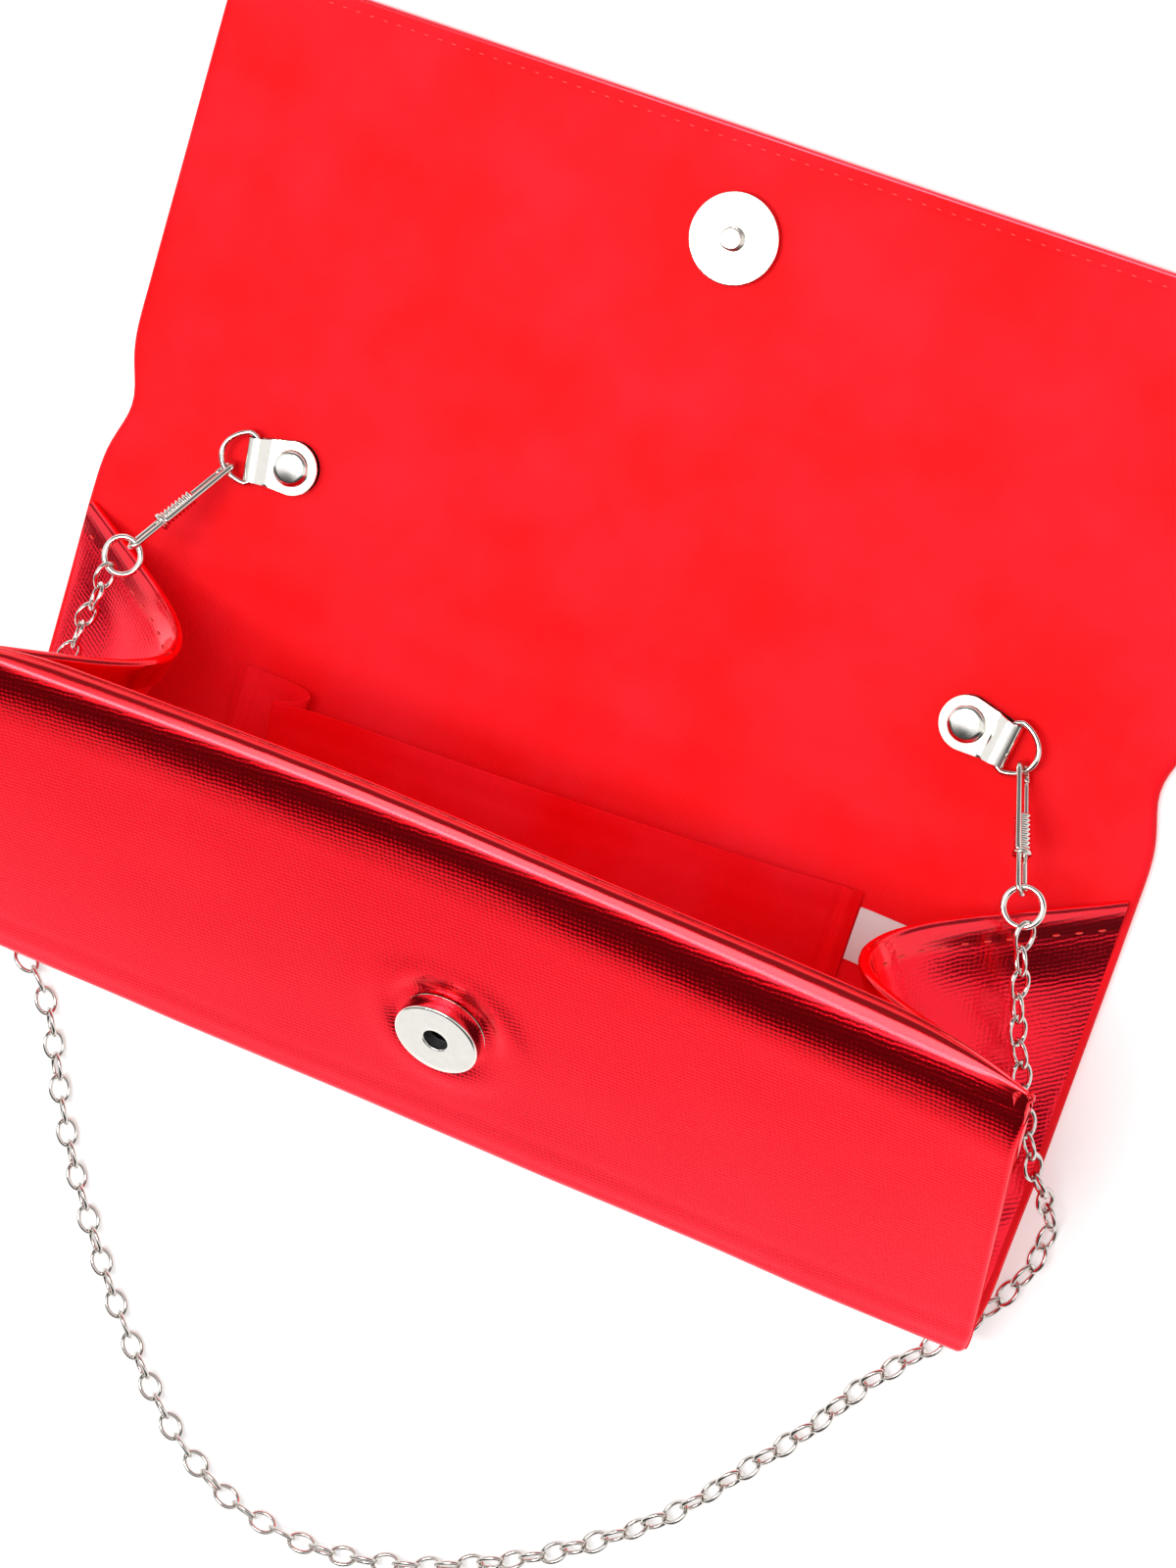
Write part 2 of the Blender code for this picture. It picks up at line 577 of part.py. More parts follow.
def make_flap(leather, board, satin, steel, carrier):
    """Flap, turned over at its free edge, with the stud half of the snap."""
    end = CREASE_2 + FLAP_LENGTH
    edge = turned_edge(flat_path(CREASE_2, end)[::-1], FLAP_TURN, np.array([0.0, 1.0]))
    piece("flap_outer", *layer(edge[::-1], 0.0, LEATHER, HALF_WIDTH), leather, carrier)
    stiff_path = flat_path(CREASE_2 + EDGE_MARGIN, end - LAYER_GAP)
    stiff = piece(
        "flap_board", *layer(stiff_path, BOARD_AT, BOARD, HALF_WIDTH - EDGE_MARGIN), board, carrier,
    )
    lining_end = end - FLAP_TURN - LAYER_GAP
    lining = piece(
        "flap_lining", *layer(flat_path(CREASE_2, lining_end), LINING_AT, LINING, HALF_WIDTH), satin, carrier,
    )
    up = Vector((0, 0, 1))
    seat = Vector((0.0, CREASE_2 + SNAP_BEYOND_CREASE, 0.0))
    low = STACK + LAYER_GAP
    high = low + DISC_THICKNESS
    edge_round = 0.4 * MM
    disc = [
        (0.0, BOARD_AT), (STEM_RADIUS, BOARD_AT), (STEM_RADIUS, low), (SNAP_RADIUS, low),
        (SNAP_RADIUS, high - edge_round), (SNAP_RADIUS - edge_round, high), (STUD_RADIUS, high),
        (STUD_RADIUS, high + STUD_HEIGHT - edge_round), (STUD_RADIUS - edge_round, high + STUD_HEIGHT),
        (0.0, high + STUD_HEIGHT),
    ]
    piece("snap_disc", *turned(disc, seat, up, TURNED_STEPS), steel, carrier, True)
    washer = ring_profile(STEM_RADIUS + STEM_CLEAR, SNAP_WASHER_RADIUS, BOARD_AT, BOARD_AT + BOARD)
    piece("snap_disc_washer", *turned(washer, seat, up, TURNED_STEPS), steel, carrier, True)
    in_lining = seat + (LINING_AT + 0.5 * LINING) * up
    drill(lining, "flap_stem_hole", in_lining, up, STEM_RADIUS + STEM_CLEAR, LINING)
    in_board = seat + (BOARD_AT + 0.5 * BOARD) * up
    drill(stiff, "flap_washer_hole", in_board, up, SNAP_WASHER_RADIUS + LAYER_GAP, BOARD)


def gusset_lines(side):
    """A gusset's corner at the bottom fold, and unit vectors up its back edge, fold and front edge."""
    corner = Vector((side * (HALF_WIDTH - GUSSET_INSET), *FOLD_CENTRE))
    top = Vector((corner.x, CREASE_1, STACK + GUSSET_LIFT))
    back = (top - corner).normalized()
    rim_depth = STACK + GUSSET_LIFT
    rim = FRONT_START + GUSSET_EDGE * FRONT_ALONG - rim_depth * FRONT_OUT
    front = (Vector((corner.x, *rim)) - corner).normalized()
    half = 0.5 * back.angle(front)
    middle = (back + front).normalized()
    up = math.cos(GUSSET_HALF_ANGLE) / math.cos(half)
    inwards = math.sqrt(1.0 - up * up)
    fold = up * middle - side * inwards * Vector((1, 0, 0))
    return corner, back, fold, front


def make_gusset_half(name, edge, corner, fold, leather, satin, carrier, outside):
    """Half a gusset: a leather sheet and its lining between a panel's edge and the middle fold.

    Both sheets lie on the inner side of the folding plane, so that the halves can close on each other.
    """
    normal = edge.cross(fold).normalized()
    if normal.dot(outside) < 0.0:
        normal = -normal
    across = (fold - edge * fold.dot(edge)).normalized()
    fold_in = (edge - fold * edge.dot(fold)).normalized()
    edge_shift = GUSSET_CLEAR * across
    fold_shift = GUSSET_CLEAR * fold_in
    outline = [
        corner + GUSSET_START * edge + edge_shift, corner + GUSSET_EDGE * edge + edge_shift,
        corner + GUSSET_FOLD * fold + fold_shift, corner + GUSSET_START * fold + fold_shift,
    ]
    leather_shift = -(GUSSET_VALLEY + 0.5 * LEATHER) * normal
    lining_shift = -(GUSSET_VALLEY + LEATHER + LAYER_GAP + 0.5 * LINING) * normal
    piece(name, *plate([p + leather_shift for p in outline], normal, LEATHER), leather, carrier)
    lining_name = name.rsplit("_", 1)
    lining_name = f"{lining_name[0]}_lining_{lining_name[1]}"
    piece(lining_name, *plate([p + lining_shift for p in outline], normal, LINING), satin, carrier)


def d_ring_frame(side):
    """Function from a D-ring's own (outward, along) coordinates to the bag's frame.

    The bow rests on the clip's hook below it, so it is tipped up a little from the lining.
    """
    out, along = tab_axes(side)
    centre = bar_centre(side)
    tipped = math.cos(D_REST_TILT) * out + math.sin(D_REST_TILT) * Vector((0, 0, 1))

    def place(a, b):
        return centre + a * tipped + b * along

    return place


def hook_point(side):
    """Point of the D-ring's wire where the clip hangs, and the wire's direction there."""
    place = d_ring_frame(side)
    point = place(D_DEPTH * math.cos(HOOK_AT), D_HALF_WIDTH * math.sin(HOOK_AT))
    ahead = place(-D_DEPTH * math.sin(HOOK_AT), D_HALF_WIDTH * math.cos(HOOK_AT))
    return point, (ahead - bar_centre(side)).normalized()


def make_d_ring(name, side, steel, carrier):
    """D-ring: a straight bar and an elliptical bow, in one closed wire."""
    place = d_ring_frame(side)
    bar_end = 0.5 * TAB_BAR_WIDTH + 0.1 * MM
    bow_start = math.radians(78.0)
    points = [place(0.0, b) for b in np.linspace(-bar_end, bar_end, 4).tolist()]
    for t in np.linspace(bow_start, -bow_start, 15):
        points.append(place(D_DEPTH * math.cos(t), D_HALF_WIDTH * math.sin(t)))
    piece(f"d_ring_{name}", *wire(points, D_WIRE, True), steel, carrier, True)


def clip_frame(name, side):
    """Origin and axes of a clip: along it, towards its arm, and across it."""
    origin, _ = hook_point(side)
    plan = Vector((side * math.sin(CLIP_HEADING), -math.cos(CLIP_HEADING), 0.0))
    along = math.cos(CLIP_RISE) * plan + math.sin(CLIP_RISE) * Vector((0, 0, 1))
    level = plan.cross(Vector((0, 0, 1))).normalized()
    towards_arm = level.cross(along).normalized()
    if towards_arm.z < 0.0:
        towards_arm = -towards_arm
    roll = Matrix.Rotation(side * CLIP_ROLL[name], 3, along)
    return origin, along, roll @ towards_arm, roll @ level, plan


def make_clip(name, side, steel, carrier, gate_carrier):
    """Spring clip: a hook and arm, a ribbed sleeve with a collar, an eye, and the sprung gate."""
    origin, along, arm, across, plan = clip_frame(name, side)

    def place(a, b):
        return origin + a * along + b * arm

    hook_back = -(D_WIRE + HOOK_CLEAR + ARM_RADIUS)
    bend = hook_back + ARM_OFFSET
    points = [place(HOOK_TIP, -ARM_OFFSET)]
    for a in np.linspace(1.5 * math.pi, 0.5 * math.pi, 11):
        points.append(place(bend + ARM_OFFSET * math.cos(a), ARM_OFFSET * math.sin(a)))
    points.append(place(SLEEVE_START, ARM_OFFSET))
    points.append(place(SLEEVE_END, ARM_OFFSET))
    frame = piece(f"clip_frame_{name}", *wire(points, ARM_RADIUS, False), steel, carrier, True)

    pitch = (SLEEVE_END - SLEEVE_START) / RIB_COUNT
    sleeve = [(0.0, SLEEVE_START)]
    for k in range(RIB_COUNT):
        low = SLEEVE_START + k * pitch
        sleeve += [(SLEEVE_RADIUS, low), (SLEEVE_RADIUS + RIB_HEIGHT, low + 0.5 * pitch)]
    collar_end = SLEEVE_END + COLLAR_LENGTH
    sleeve += [(SLEEVE_RADIUS, SLEEVE_END), (COLLAR_RADIUS, SLEEVE_END), (COLLAR_RADIUS, collar_end), (0.0, collar_end)]
    combine(frame, f"clip_sleeve_{name}", *turned(sleeve, origin, along, SMALL_STEPS), "UNION")

    eye_back = CLIP_LENGTH + RING_WIRE + EYE_CLEAR + EYE_ROD
    eye_bend = eye_back - EYE_OFFSET
    eye_start = SLEEVE_END + 0.5 * COLLAR_LENGTH
    points = [place(eye_start, -EYE_OFFSET)]
    for a in np.linspace(-0.5 * math.pi, 0.5 * math.pi, 9):
        points.append(place(eye_bend + EYE_OFFSET * math.cos(a), EYE_OFFSET * math.sin(a)))
    points.append(place(eye_start, EYE_OFFSET))
    combine(frame, f"clip_eye_{name}", *wire(points, EYE_ROD, False), "UNION")

    gate_start = HOOK_TIP + GATE_GAP
    gate_end = SLEEVE_START - GATE_GAP
    gate = rod(GATE_RADIUS, place(gate_start, -ARM_OFFSET), place(gate_end, -ARM_OFFSET))
    piece(f"clip_gate_{name}", *gate, steel, gate_carrier, True)

    eye_contact = place(CLIP_LENGTH, 0.0)
    lean = math.cos(RING_TILT) * plan + math.sin(RING_TILT) * Vector((0, 0, 1))
    level = plan.cross(Vector((0, 0, 1))).normalized()
    centre = eye_contact + RING_RADIUS * lean
    points = []
    for a in np.linspace(0.0, 2.0 * math.pi, 20, endpoint=False):
        points.append(centre + RING_RADIUS * (math.cos(a) * lean + math.sin(a) * level))
    piece(f"jump_ring_{name}", *wire(points, RING_WIRE, True), steel, carrier, True)
    return centre + (RING_RADIUS + RING_WIRE + CHAIN_JOIN_GAP) * lean


def gate_pivot(name, side):
    """Pivot of a clip's gate, near the sleeve."""
    origin, along, arm, across, _ = clip_frame(name, side)
    reach = SLEEVE_START - GATE_GAP - GATE_TAIL
    return origin + reach * along - ARM_OFFSET * arm


def chain_tube(name, points, material, carrier):
    """One stretch of the chain: a curve with a round section and filled ends."""
    shift = BAG_SHIFT - carrier.location
    curve = bpy.data.curves.new(name, "CURVE")
    curve.dimensions = "3D"
    curve.bevel_depth = CHAIN_RADIUS
    curve.bevel_resolution = CHAIN_SIDES
    curve.use_fill_caps = True
    spline = curve.splines.new("POLY")
    spline.points.add(len(points) - 1)
    for target, point in zip(spline.points, points):
        target.co = (*(Vector(point) + shift), 1.0)
    curve.materials.append(material)
    obj = bpy.data.objects.new(name, curve)
    obj.parent = carrier
    bpy.context.scene.collection.objects.link(obj)


def make_chain(starts, steel, root):
    """The chain: from each ring over its gusset to the table, and round in front of the bag.

    Each end swings about the point where it lifts off the table.
    """
    left = [starts["left"], *(MM * np.array(CHAIN_LEFT_ROUTE))]
    floor = MM * np.array(CHAIN_FLOOR_ROUTE)
    right = [*(MM * np.array(CHAIN_RIGHT_ROUTE)), starts["right"]]
    left_end = body("chain_axis_left", left[-1])
    right_end = body("chain_axis_right", right[0])
    close, knot_at = smooth_route(np.vstack([left, floor, right]))
    along = np.concatenate([[0.0], np.cumsum(np.linalg.norm(np.diff(close, axis=0), axis=1))])
    floor_start = along[knot_at[len(left) - 1]]
    floor_end = along[knot_at[len(left) + len(floor)]]
    half_gap = 0.5 * CHAIN_JOIN_GAP
    chain_tube("chain_left", stretch(close, along, 0.0, floor_start - half_gap), steel, left_end)
    chain_tube("chain_floor", stretch(close, along, floor_start + half_gap, floor_end - half_gap), steel, root)
    chain_tube("chain_right", stretch(close, along, floor_end + half_gap, along[-1]), steel, right_end)
    print(f"chain length {along[-1]:.4f} m")


def main():
    clear_scene()
    leather = finish("red_leather", (0.62, 0.01, 0.015), 0.35, 0.2)
    satin = finish("red_satin", (0.75, 0.008, 0.02), 0.6, 0.0)
    board = finish("grey_board", (0.45, 0.42, 0.38), 0.8, 0.0)
    steel = finish("nickel_plate", (0.82, 0.8, 0.77), 0.15, 1.0)
    magnet = finish("magnet_black", (0.05, 0.05, 0.055), 0.5, 0.0)
    white = finish("label_white", (0.9, 0.9, 0.9), 0.7, 0.0)

    root = body("bag", (0.0, 0.0, 0.0))
    front = body("front_axis", (0.0, *FOLD_CENTRE))
    band = body("band_axis", (0.0, CREASE_1, STACK))
    flap = body("flap_axis", (0.0, CREASE_2, STACK))
    make_back(leather, board, satin, white, root)
    make_front(leather, board, satin, steel, magnet, front)
    make_band(leather, board, satin, steel, band)
    make_flap(leather, board, satin, steel, flap)

    chain_starts = {}
    for name, side in SIDES.items():
        corner, back_edge, fold, front_edge = gusset_lines(side)
        valley = Vector((side, 0.0, 0.0))
        back_half = body(f"gusset_back_axis_{name}", corner)
        front_half = body(f"gusset_front_axis_{name}", corner)
        make_gusset_half(f"gusset_back_{name}", back_edge, corner, fold, leather, satin, back_half, valley)
        make_gusset_half(f"gusset_front_{name}", front_edge, corner, fold, leather, satin, front_half, valley)
        ring = body(f"d_ring_axis_{name}", bar_centre(side))
        make_d_ring(name, side, steel, ring)
        hook, _ = hook_point(side)
        clip = body(f"clip_axis_{name}", hook)
        gate = body(f"gate_axis_{name}", gate_pivot(name, side))
        far_side = make_clip(name, side, steel, clip, gate)
        chain_starts[name] = far_side
    make_chain(chain_starts, steel, root)


main()
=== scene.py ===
# %% [markdown]
# # An open clutch purse on a white table
# The bag lies on its back with its flap thrown open.  Red foiled leather wraps stiff panels, satin
# lines them, two folding gussets close the sides, and a chain strap hangs on two riveted D-rings.
# The solid model of the bag is loaded first as a fixed frame: it gives every size, hinge and place,
# and each soft or shiny piece below is then worked out as a surface over it.

# %% Load the frame
import json
import math

import bpy
import numpy as np
from mathutils import Matrix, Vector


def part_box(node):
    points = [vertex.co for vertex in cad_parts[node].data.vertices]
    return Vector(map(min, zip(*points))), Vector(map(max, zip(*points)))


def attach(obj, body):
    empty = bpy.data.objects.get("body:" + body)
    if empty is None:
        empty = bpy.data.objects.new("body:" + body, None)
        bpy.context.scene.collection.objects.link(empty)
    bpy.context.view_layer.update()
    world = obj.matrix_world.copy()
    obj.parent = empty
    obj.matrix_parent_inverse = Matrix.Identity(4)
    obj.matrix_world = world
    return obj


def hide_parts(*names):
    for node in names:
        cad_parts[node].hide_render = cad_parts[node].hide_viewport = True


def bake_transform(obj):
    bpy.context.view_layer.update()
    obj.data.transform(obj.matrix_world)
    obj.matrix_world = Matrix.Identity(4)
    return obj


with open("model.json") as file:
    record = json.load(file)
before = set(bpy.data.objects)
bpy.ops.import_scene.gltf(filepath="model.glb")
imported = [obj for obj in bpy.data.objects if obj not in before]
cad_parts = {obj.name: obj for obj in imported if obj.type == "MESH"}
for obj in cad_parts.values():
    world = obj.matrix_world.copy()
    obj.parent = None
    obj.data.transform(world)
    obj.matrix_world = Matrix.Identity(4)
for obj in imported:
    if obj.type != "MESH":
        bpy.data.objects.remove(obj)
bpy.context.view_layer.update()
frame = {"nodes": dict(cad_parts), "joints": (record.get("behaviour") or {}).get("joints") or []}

# %% [markdown]
# ## Measures
# A maker thinks in millimetres from the bottom fold of the bag: x across it, y up the back towards
# the flap, z up from the table.  The panel sizes, hinge lines and stack thickness come from the
# frame, so the looks can't drift from the mechanism; the rest are sizes of the real pieces.

# %% The bag's own millimetre frame
MM = 0.001
joints = {joint["name"]: joint for joint in frame["joints"]}
FOLD_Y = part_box("back_outer")[0].y / MM


def to_world(points):
    """Bag millimetres to the frame's metres: shift along y, then scale."""
    return (np.asarray(points, float) + (0.0, FOLD_Y, 0.0)) * MM


def hinge_point(name):
    """A joint's pivot in bag millimetres."""
    return np.array(joints[name]["pos_m"]) / MM - (0.0, FOLD_Y, 0.0)


HALF_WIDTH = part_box("back_outer")[1].x / MM
STACK = hinge_point("flap_fold")[2]
CREASE_1 = hinge_point("flap_fold")[1]
CREASE_2 = hinge_point("flap_crease")[1]
FLAP_END = 209.3
TURN_RADIUS = 0.5 * STACK - 0.15
RIM_TURN = 9.0
FLAP_TURN = 2.5
FRONT_HEIGHT = 85.5
FRONT_ANGLE = math.radians(33.8)
FOLD_RADIUS = 5.0
FOLD_CENTRE = hinge_point("front_swing")[1:]
FOLD_RISE = FOLD_CENTRE[1] - FOLD_RADIUS
CURL_LOW = 42.0
CURL_HIGH = 17.0
BACK_SEAM = 50.0
BAND_SEAM = 0.5 * (CREASE_1 + CREASE_2)
FRONT_ALONG = np.array([math.cos(FRONT_ANGLE), math.sin(FRONT_ANGLE)])
FRONT_OUT = np.array([-math.sin(FRONT_ANGLE), math.cos(FRONT_ANGLE)])
FRONT_START = FOLD_CENTRE + FOLD_RADIUS * FRONT_OUT
SIDES = {"left": -1.0, "right": 1.0}
UP = np.array([0.0, 0.0, 1.0])
print(f"panels {2 * HALF_WIDTH:.0f} mm wide, creases at {CREASE_1:.1f} and {CREASE_2:.1f} mm")

# %% [markdown]
# ## Camera
# The picture is taken from above, a little to the right of the bag, with a long lens.  A camera could
# be aimed with constraints, but a fixed place and three axes keep the view exact: its right and down
# directions are written out, and the way it looks is their cross product.

# %% Camera
LENS = 80.36
SENSOR = 36.0
EYE = np.array([174.336, 254.865, 656.430])
VIEW_RIGHT = np.array([0.902688, 0.294490, -0.313734])
VIEW_DOWN = np.array([0.355348, -0.921355, 0.157581])
view_ahead = np.cross(VIEW_RIGHT, VIEW_DOWN)
camera_data = bpy.data.cameras.new("view")
camera_data.lens = LENS
camera_data.sensor_width = SENSOR
camera = bpy.data.objects.new("view", camera_data)
bpy.context.scene.collection.objects.link(camera)
axes = np.eye(4)
axes[:3, 0] = VIEW_RIGHT
axes[:3, 1] = -VIEW_DOWN
axes[:3, 2] = -view_ahead
axes[:3, 3] = to_world(EYE)
camera.matrix_world = Matrix(axes.tolist())
bpy.context.scene.camera = camera
print("camera looks along", np.round(view_ahead, 3))

# %% [markdown]
# ## Shader arithmetic
# A finish is a graph of nodes, and long graphs are easier to read as sums and products.  The class
# below wraps a socket so that `1 - mask` or `wave * 0.3` adds Math nodes; every other node comes from
# one method that takes its type, its settings and its sockets.

# %% A socket that does arithmetic, and a finish that makes nodes


class Value:
    """A shader socket that takes part in Python arithmetic."""

    def __init__(self, finish, socket):
        self.finish = finish
        self.socket = socket

    def maths(self, operation, first, second=0.0):
        return self.finish.node("ShaderNodeMath", {"operation": operation}, {0: first, 1: second})

    def __add__(self, other):
        return self.maths("ADD", self, other)

    def __sub__(self, other):
        return self.maths("SUBTRACT", self, other)

    def __rsub__(self, other):
        return self.maths("SUBTRACT", other, self)

    def __mul__(self, other):
        return self.maths("MULTIPLY", self, other)

    def __pow__(self, power):
        return self.maths("POWER", self, power)

    def sine(self):
        return self.maths("SINE", self)

    def highest(self, other):
        return self.maths("MAXIMUM", self, other)

    def step(self, low, high):
        """0 below low, 1 above high, smooth between."""
        return self.finish.node(
            "ShaderNodeMapRange", {"interpolation_type": "SMOOTHSTEP"}, {"Value": self, 1: low, 2: high})

    __radd__ = __add__
    __rmul__ = __mul__


class Finish:
    """A node tree whose nodes are all made by one method."""

    def __init__(self, tree):
        self.tree = tree

    def node(self, kind, settings=None, sockets=None, output=0):
        made = self.tree.nodes.new(kind)
        for name, value in (settings or {}).items():
            if name == "stops":
                ramp = made.color_ramp.elements
                while len(ramp) < len(value):
                    ramp.new(1.0)
                for element, (place, colour) in zip(ramp, value):
                    element.position = place
                    element.color = (*colour, 1.0)
            else:
                setattr(made, name, value)
        self.feed(made, sockets or {})
        return Value(self, made.outputs[output])

    def feed(self, target, sockets):
        for name, value in sockets.items():
            if isinstance(value, Value):
                self.tree.links.new(value.socket, target.inputs[name])
            else:
                target.inputs[name].default_value = value


def new_finish(name, **constants):
    """A Principled material; constants go straight onto the shader's sockets."""
    material = bpy.data.materials.new(name)
    material.use_nodes = True
    finish = Finish(material.node_tree)
    finish.material = material
    finish.shader = material.node_tree.nodes["Principled BSDF"]
    finish.feed(finish.shader, {key.replace("_", " "): value for key, value in constants.items()})
    return finish


def surface_mm(finish):
    """A piece's own cloth coordinates, in millimetres, from its UV map."""
    uv = finish.node("ShaderNodeUVMap", {"uv_map": "cut"})
    return finish.node("ShaderNodeVectorMath", {"operation": "SCALE"}, {0: uv, "Scale": 1.0 / MM})


def object_mm(finish):
    """Object coordinates in millimetres."""
    place = finish.node("ShaderNodeTexCoord", {}, {}, "Object")
    return finish.node("ShaderNodeVectorMath", {"operation": "SCALE"}, {0: place, "Scale": 1.0 / MM})


def split(finish, vector):
    """The three parts of a vector, each as a value."""
    first = finish.node("ShaderNodeSeparateXYZ", {}, {0: vector})
    return [Value(finish, part) for part in first.socket.node.outputs]


def noise(finish, place, scale, detail=3.0):
    """Soft noise about 1 / scale millimetres across, from 0 to 1."""
    sockets = {"Vector": place, "Scale": scale, "Detail": detail, "Roughness": 0.55}
    return finish.node("ShaderNodeTexNoise", {}, sockets, "Fac")


def two_tone(finish, factor, low, high):
    """Colour that goes from low to high with a factor."""
    sockets = {"Factor": factor, 6: (*low, 1.0), 7: (*high, 1.0)}
    return finish.node("ShaderNodeMix", {"data_type": "RGBA"}, sockets, 2)


def relief(finish, height, strength, depth):
    """Normal of a surface that stands up by height times depth millimetres."""
    return finish.node("ShaderNodeBump", {}, {"Height": height, "Strength": strength, "Distance": depth * MM})


print("shader helpers ready")

# %% [markdown]
# ## Foiled leather
# The outside is coated leather pressed with a fine cross-hatch and covered with a thin red foil.  It
# reflects like tinted metal, so most of its look is the room mirrored in it, broken by the pressed
# lines.  Two crossing sets of ridges about a millimetre apart, bent by a little noise, give the press;
# each piece carries a value that fades it where the leather is stretched round an edge.  The foil's
# colour is painted a little paler low down: painted light for the brighter reflection near the bottom.

# %% Leather finish
GRAIN_STEP = 0.95
GRAIN_SLANTS = (0.10, -1.38)
EDGE_TINT = (1.0, 0.62, 0.66, 1.0)
# Heights in mm over which painted light fades out: the foil's colour is painted paler below them.
PAINTED_LIGHT_HEIGHTS = (8.0, 56.0)
FOIL_DARK = (0.93, 0.001, 0.008)
FOIL_PALE = (1.0, 0.018, 0.040)


def make_leather():
    finish = new_finish(
        "foiled_leather", Metallic=0.97, Coat_Roughness=0.10, Specular_IOR_Level=0.3, Specular_Tint=EDGE_TINT)
    place = surface_mm(finish)
    drift = noise(finish, place, 0.35, 2.0)
    u, v, _ = split(finish, place)
    ridges = []
    uneven = noise(finish, place, 0.9, 2.0)
    for slant in GRAIN_SLANTS:
        along = u * math.sin(slant) + v * math.cos(slant)
        phase = along * (2.0 * math.pi / GRAIN_STEP) + drift * 5.0 + uneven * 3.0
        ridges.append(phase.sine() * 0.5 + 0.5)
    pressed = finish.node("ShaderNodeAttribute", {"attribute_name": "press"}, {}, "Fac")
    press = (ridges[0] * 0.65 + ridges[1] * uneven * 0.7 + noise(finish, place, 1.6) * 0.4) * pressed
    cloudy = noise(finish, place, 0.02, 2.0)
    # Painted light: the foil's colour is made paler low on the bag, standing for the brighter reflection
    # there.
    painted_light_low = 1.0 - split(finish, object_mm(finish))[2].step(*PAINTED_LIGHT_HEIGHTS)
    shade = cloudy * 0.3 + press * 0.2 + painted_light_low * 0.6
    colour = two_tone(finish, shade, FOIL_DARK, FOIL_PALE)
    rough = 0.15 + cloudy * 0.04 + press * 0.05
    normal = relief(finish, press, 0.36, 0.12)
    gloss = 0.90 - pressed * 0.78
    finish.feed(finish.shader, {
        "Base Color": colour, "Roughness": rough, "Normal": normal, "Coat Weight": gloss})
    return finish.material


leather = make_leather()
print("finish:", leather.name)

# %% [markdown]
# ## Satin lining
# The lining is a red satin with a fine diagonal twill.  Its colour barely changes, but its sheen does:
# the twill lines are half a millimetre apart, a slow noise makes the weave a little uneven, and slow
# paler blotches in its colour are painted sheen.

# %% Lining finish
TWILL_STEP = 0.62
SATIN_DARK = (0.98, 0.0, 0.002)
SATIN_PALE = (1.0, 0.011, 0.024)


def make_satin():
    finish = new_finish(
        "red_satin", Sheen_Weight=0.03, Sheen_Roughness=0.4, Specular_IOR_Level=0.10,
        Sheen_Tint=(1.0, 0.5, 0.5, 1.0))
    place = surface_mm(finish)
    u, v, _ = split(finish, place)
    phase = (u * 0.8 + v * 0.6) * (2.0 * math.pi / TWILL_STEP) + noise(finish, place, 0.5) * 1.5
    twill = phase.sine() * 0.5 + 0.5
    slub = noise(finish, place, 0.03, 4.0)
    # Painted sheen: slow random blotches make the satin's colour paler, standing for its uneven sheen.
    painted_sheen_blotches = slub.step(0.32, 0.68)
    colour = two_tone(finish, painted_sheen_blotches * 0.8 + twill * 0.2, SATIN_DARK, SATIN_PALE)
    rough = 0.46 + slub * 0.12
    normal = relief(finish, twill + noise(finish, place, 2.2) * 0.5, 0.22, 0.08)
    finish.feed(finish.shader, {"Base Color": colour, "Roughness": rough, "Normal": normal})
    return finish.material


satin = make_satin()
print("finish:", satin.name)

# %% [markdown]
# ## Plated metal, magnet, board, label and thread
# The fittings are bright nickel over pressed steel, with faint polishing marks and a few dull spots.
# The magnet is black ferrite, the stiffener grey board, the label bare white tape, the thread red.

# %% Small finishes


def make_metal(name, colour, roughness):
    finish = new_finish(name, Metallic=1.0)
    place = object_mm(finish)
    wear = noise(finish, place, 0.6, 4.0)
    tone = two_tone(finish, wear, [0.86 * c for c in colour], colour)
    marks = noise(finish, place, 7.0, 2.0)
    rough = roughness + wear ** 2.0 * 0.10 + marks * 0.03
    normal = relief(finish, marks, 0.04, 0.05)
    finish.feed(finish.shader, {"Base Color": tone, "Roughness": rough, "Normal": normal})
    return finish.material


def make_plain(name, low, high, scale, roughness, bump):
    """A matt finish of two near colours in a fine grain."""
    finish = new_finish(name)
    place = object_mm(finish)
    grain = noise(finish, place, scale, 4.0)
    finish.feed(finish.shader, {
        "Base Color": two_tone(finish, grain, low, high), "Roughness": roughness + grain * 0.1,
        "Normal": relief(finish, grain, bump, 0.1)})
    return finish.material


nickel = make_metal("bright_nickel", (0.93, 0.90, 0.84), 0.07)
wire_nickel = make_metal("wire_nickel", (0.76, 0.72, 0.67), 0.07)
chain_steel = make_metal("chain_nickel", (0.72, 0.68, 0.64), 0.08)
ferrite = make_plain("black_ferrite", (0.012, 0.012, 0.014), (0.04, 0.04, 0.045), 2.0, 0.5, 0.2)
grey_board = make_plain("grey_board", (0.36, 0.33, 0.29), (0.52, 0.49, 0.44), 1.2, 0.8, 0.3)
white_tape = make_plain("white_tape", (0.80, 0.79, 0.79), (0.90, 0.90, 0.90), 3.0, 0.55, 0.2)
thread = make_plain("red_thread", (0.75, 0.01, 0.015), (0.95, 0.10, 0.07), 4.0, 0.4, 0.3)
small = (nickel, wire_nickel, chain_steel, ferrite, grey_board, white_tape, thread)
print("small finishes:", [finish.name for finish in small])

